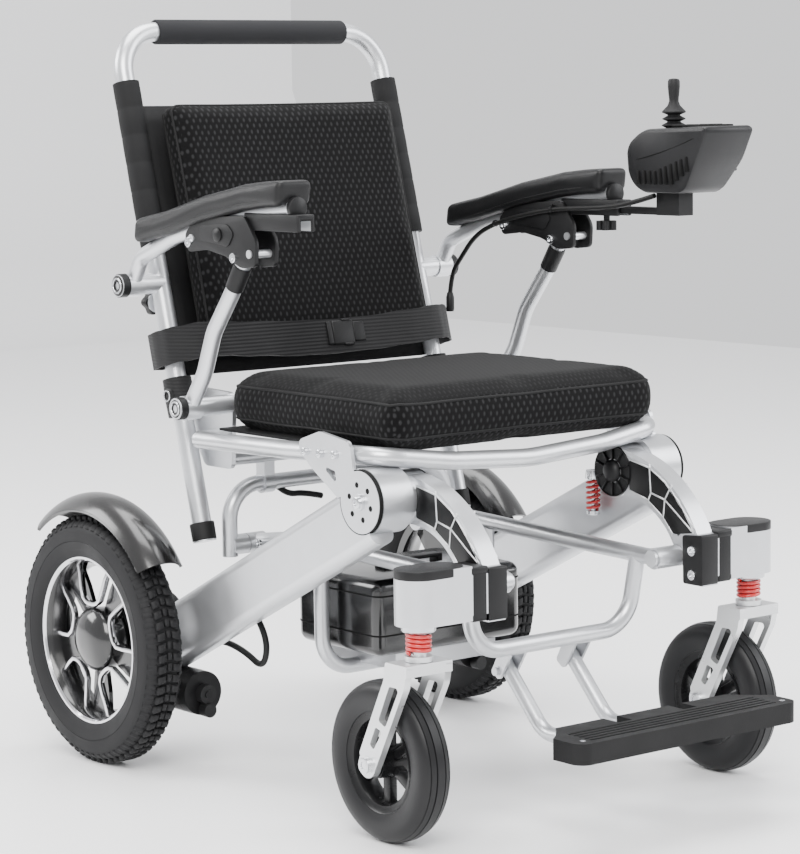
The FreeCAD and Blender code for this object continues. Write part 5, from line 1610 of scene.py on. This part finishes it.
# ---- hub plates ---------------------------------------------------------------------------
# Punched silver plates let into the beams, with holes round a central bolt and a row
# of bolts up into the seat rail. The holes and the gap round the hub are painted shade.
holes = []
for turn in range(6):
    way = math.radians(15 + turn * 60)
    place = (0.2372, HUB_Y + 0.0205 * math.cos(way), HUB_Z + 0.0205 * math.sin(way))
    holes.append(turned("hole", [(0, 0), (0.0038, 0), (0.0038, 0.0014), (0, 0.0014), (0, 0)], place, "x", 20))
both_sides(one_piece(holes), "hub_hole_shade", "chair_frame", painted_shade_and_panel_black)
heads = [bolt_head((0.2428, HUB_Y, HUB_Z), (1, 0, 0), 0.0070, 0.0032)]
for y, z in ((-0.0669, 0.429), (-0.0959, 0.429), (-0.1239, 0.430)):
    heads.append(bolt_head((0.2412, y, z), (1, 0, 0), 0.0050, 0.0030))
both_sides(one_piece(heads), "hub_bolts", "chair_frame", bright_steel)
# Painted shade: the gap round the hub is drawn as a thin near-black ring.
gap = turned(
    "gap",
    [(0.0368, 0.2345), (0.0382, 0.2345), (0.0382, 0.2386), (0.0368, 0.2386), (0.0368, 0.2345)],
    (0, HUB_Y, HUB_Z),
    "x",
    56,
)
both_sides(gap, "hub_gap_shade", "chair_frame", painted_shade_and_panel_black)


# ---- battery --------------------------------------------------------------------------------
# A gloss-black battery case with rounded corners, a recessed band round it, a carry
# handle on top and a latch on its front.
battery_gloss = finish(
    "battery_gloss",
    (0.0043, 0.0043, 0.0046),
    0.20,
    grain=0.12,
    grain_size=0.0010,
    mottle=0.12,
    coat=0.5,
)
case = slab("case", (-0.1158, -0.0417, 0.1602), (0.1158, 0.1269, 0.2555), (2, 0.014), 0.005)
set_down(case, "battery_case", battery_gloss)
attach(case, "underframe")
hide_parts("battery")
# Painted shade: the recessed band is drawn as near-black cords laid round the case at two heights.
bands = []
for level in (0.1870, 0.2360):
    ring = piping(
        "band",
        case,
        edge_run((-0.1158, -0.0417, 0), (0.1158, 0.1269, 0), 0.014, level, 2),
        0.0024,
        painted_shade_and_panel_black,
    )
    bands.append(ring)
battery_band_shade = set_down(one_piece(bands), "battery_band_shade", painted_shade_and_panel_black)
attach(battery_band_shade, "underframe")
fittings = [
    bevelled_block("handle_bar", (-0.0480, 0.0335, 0.2600), (0.0480, 0.0515, 0.2648), 0.0018),
    bevelled_block("handle_post", (-0.0480, 0.0335, 0.2540), (-0.0400, 0.0515, 0.2640), 0.0012),
    bevelled_block("handle_post", (0.0400, 0.0335, 0.2540), (0.0480, 0.0515, 0.2640), 0.0012),
    bevelled_block("latch", (-0.0210, -0.0419, 0.1950), (0.0210, -0.0385, 0.2280), 0.0012),
    bevelled_block("charge_cover", (0.0560, -0.0419, 0.2000), (0.0820, -0.0390, 0.2220), 0.0012),
]
battery_fittings = set_down(one_piece(fittings), "battery_fittings", black_plastic)
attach(battery_fittings, "underframe")


# ---- motors ---------------------------------------------------------------------------------
# Black gear housings with bolted covers at the axles and ribbed motor cans beneath.
motor_paint = finish(
    "motor_paint",
    (0.0076, 0.0076, 0.0081),
    0.36,
    metallic=0.2,
    grain=0.3,
    grain_size=0.0010,
)
dress(motor_paint, "motor_left", "motor_right")
screws = []
for turn in range(6):
    way = math.radians(turn * 60 + 20)
    place = (0.1880, AXLE_Y + 0.0400 * math.cos(way), AXLE_Z + 0.0400 * math.sin(way))
    screws.append(bolt_head(place, (-1, 0, 0), 0.0042, 0.0030))
both_sides(one_piece(screws), "motor_cover_screws", "chair_frame", bright_steel)
cover = turned(
    "cover",
    [
        (0.0300, 0.1870),
        (0.0330, 0.1862),
        (0.0355, 0.1866),
        (0.0360, 0.1884),
        (0.0300, 0.1884),
        (0.0300, 0.1870),
    ],
    (0, AXLE_Y, AXLE_Z),
    "x",
    48,
)
both_sides(cover, "motor_cover_ring", "chair_frame", motor_paint)
ribs = []
for step in range(6):
    y = 0.1990 + step * 0.0125
    rib = turned(
        "rib",
        [(0.0275, y), (0.0282, y + 0.0006), (0.0282, y + 0.0032), (0.0275, y + 0.0038), (0.0275, y)],
        (0.2220, 0, 0.0980),
        "y",
        40,
    )
    ribs.append(rib)
both_sides(one_piece(ribs), "motor_can_ribs", "chair_frame", motor_paint)


# ---- footplate ------------------------------------------------------------------------------
# A black moulded tread: rubber strips let into its top between a plain rim, and
# screws through its corners.
tread_rubber = finish(
    "tread_rubber",
    (0.0054, 0.0054, 0.0057),
    0.60,
    grain=0.5,
    grain_size=0.0013,
    mottle=0.15,
)
dress(tread_rubber, "footplate")
strips = []
for step in range(5):
    y = -0.4545 + step * 0.0090
    strips.append(bevelled_block("strip", (-0.1430, y, 0.1345), (0.1430, y + 0.0052, 0.1364), 0.0006, 2))
tread = set_down(one_piece(strips), "footplate_tread", tread_rubber)
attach(tread, "footplate")
studs = []
for x in (-0.1560, 0.1560):
    studs.append(bolt_head((x, -0.4560, 0.1358), (0, 0, 1), 0.0036, 0.0012))
foot_studs = set_down(one_piece(studs), "footplate_screws", bright_steel)
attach(foot_studs, "footplate")


# ---- underframe fittings --------------------------------------------------------------------
# Bolts through the clamps of the front tube and the pins the links turn on, and a red
# spring plunger with bright collars on each side, of the four that hold the frame open.
heads = []
for y, z in ((-0.1920, 0.2860), (-0.2700, 0.2860), (0.1500, 0.2860)):
    heads.append(bolt_head((0.1545, y, z), (1, 0, 0), 0.0052, 0.0030))
both_sides(one_piece(heads), "link_bolts", "underframe", bright_steel)
plungers = []
collars = []
for x, y, low, high in ((0.1930, -0.0909, 0.3120, 0.3690),):
    turns = coil("plunger", (x, y), 0.0078, 0.0019, low + 0.006, high - 0.012, 6)
    plungers.append(turns)
    collars.append(
        turned(
            "collar",
            [(0, low), (0.0075, low), (0.0085, low + 0.001), (0.0085, low + 0.005), (0, low + 0.005)],
            (x, y, 0),
            "z",
            24,
        )
    )
    collars.append(
        turned(
            "collar",
            [(0, high - 0.011), (0.0095, high - 0.011), (0.0100, high - 0.009), (0.0090, high), (0, high)],
            (x, y, 0),
            "z",
            24,
        )
    )
    collars.append(turned("shaft", [(0, low), (0.0030, low), (0.0030, high), (0, high)], (x, y, 0), "z", 16))
both_sides(one_piece(plungers), "plunger_coil", "chair_frame", spring_red)
both_sides(one_piece(collars), "plunger_collar", "chair_frame", bright_steel)


# ---- lead fittings --------------------------------------------------------------------------
# The moulded plug at the lower end of the controller's lead and the ties that hold the
# lead to the arm.
plug = turned(
    "plug",
    [
        (0, 0.0),
        (0.0040, 0.0),
        (0.0048, -0.004),
        (0.0055, -0.006),
        (0.0055, -0.022),
        (0.0048, -0.0255),
        (0, -0.0260),
    ],
    (0.229, 0.2331, 0.5760),
    "z",
    28,
)
set_down(plug, "controller_plug", black_plastic)
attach(plug, "arm_left")
ties = []
for y, z in ((0.0250, 0.6930), (0.1371, 0.6720)):
    ties.append(
        turned(
            "tie",
            [(0.0034, -0.0022), (0.0044, -0.0018), (0.0044, 0.0018), (0.0034, 0.0022), (0.0034, -0.0022)],
            (0.229, y, z),
            "y",
            24,
        )
    )
ties.append(bevelled_block("tie_lock", (0.2268, 0.0228, 0.6968), (0.2312, 0.0272, 0.6998), 0.0006, 2))
lead_ties = set_down(one_piece(ties), "controller_lead_ties", black_plastic)
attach(lead_ties, "arm_left")
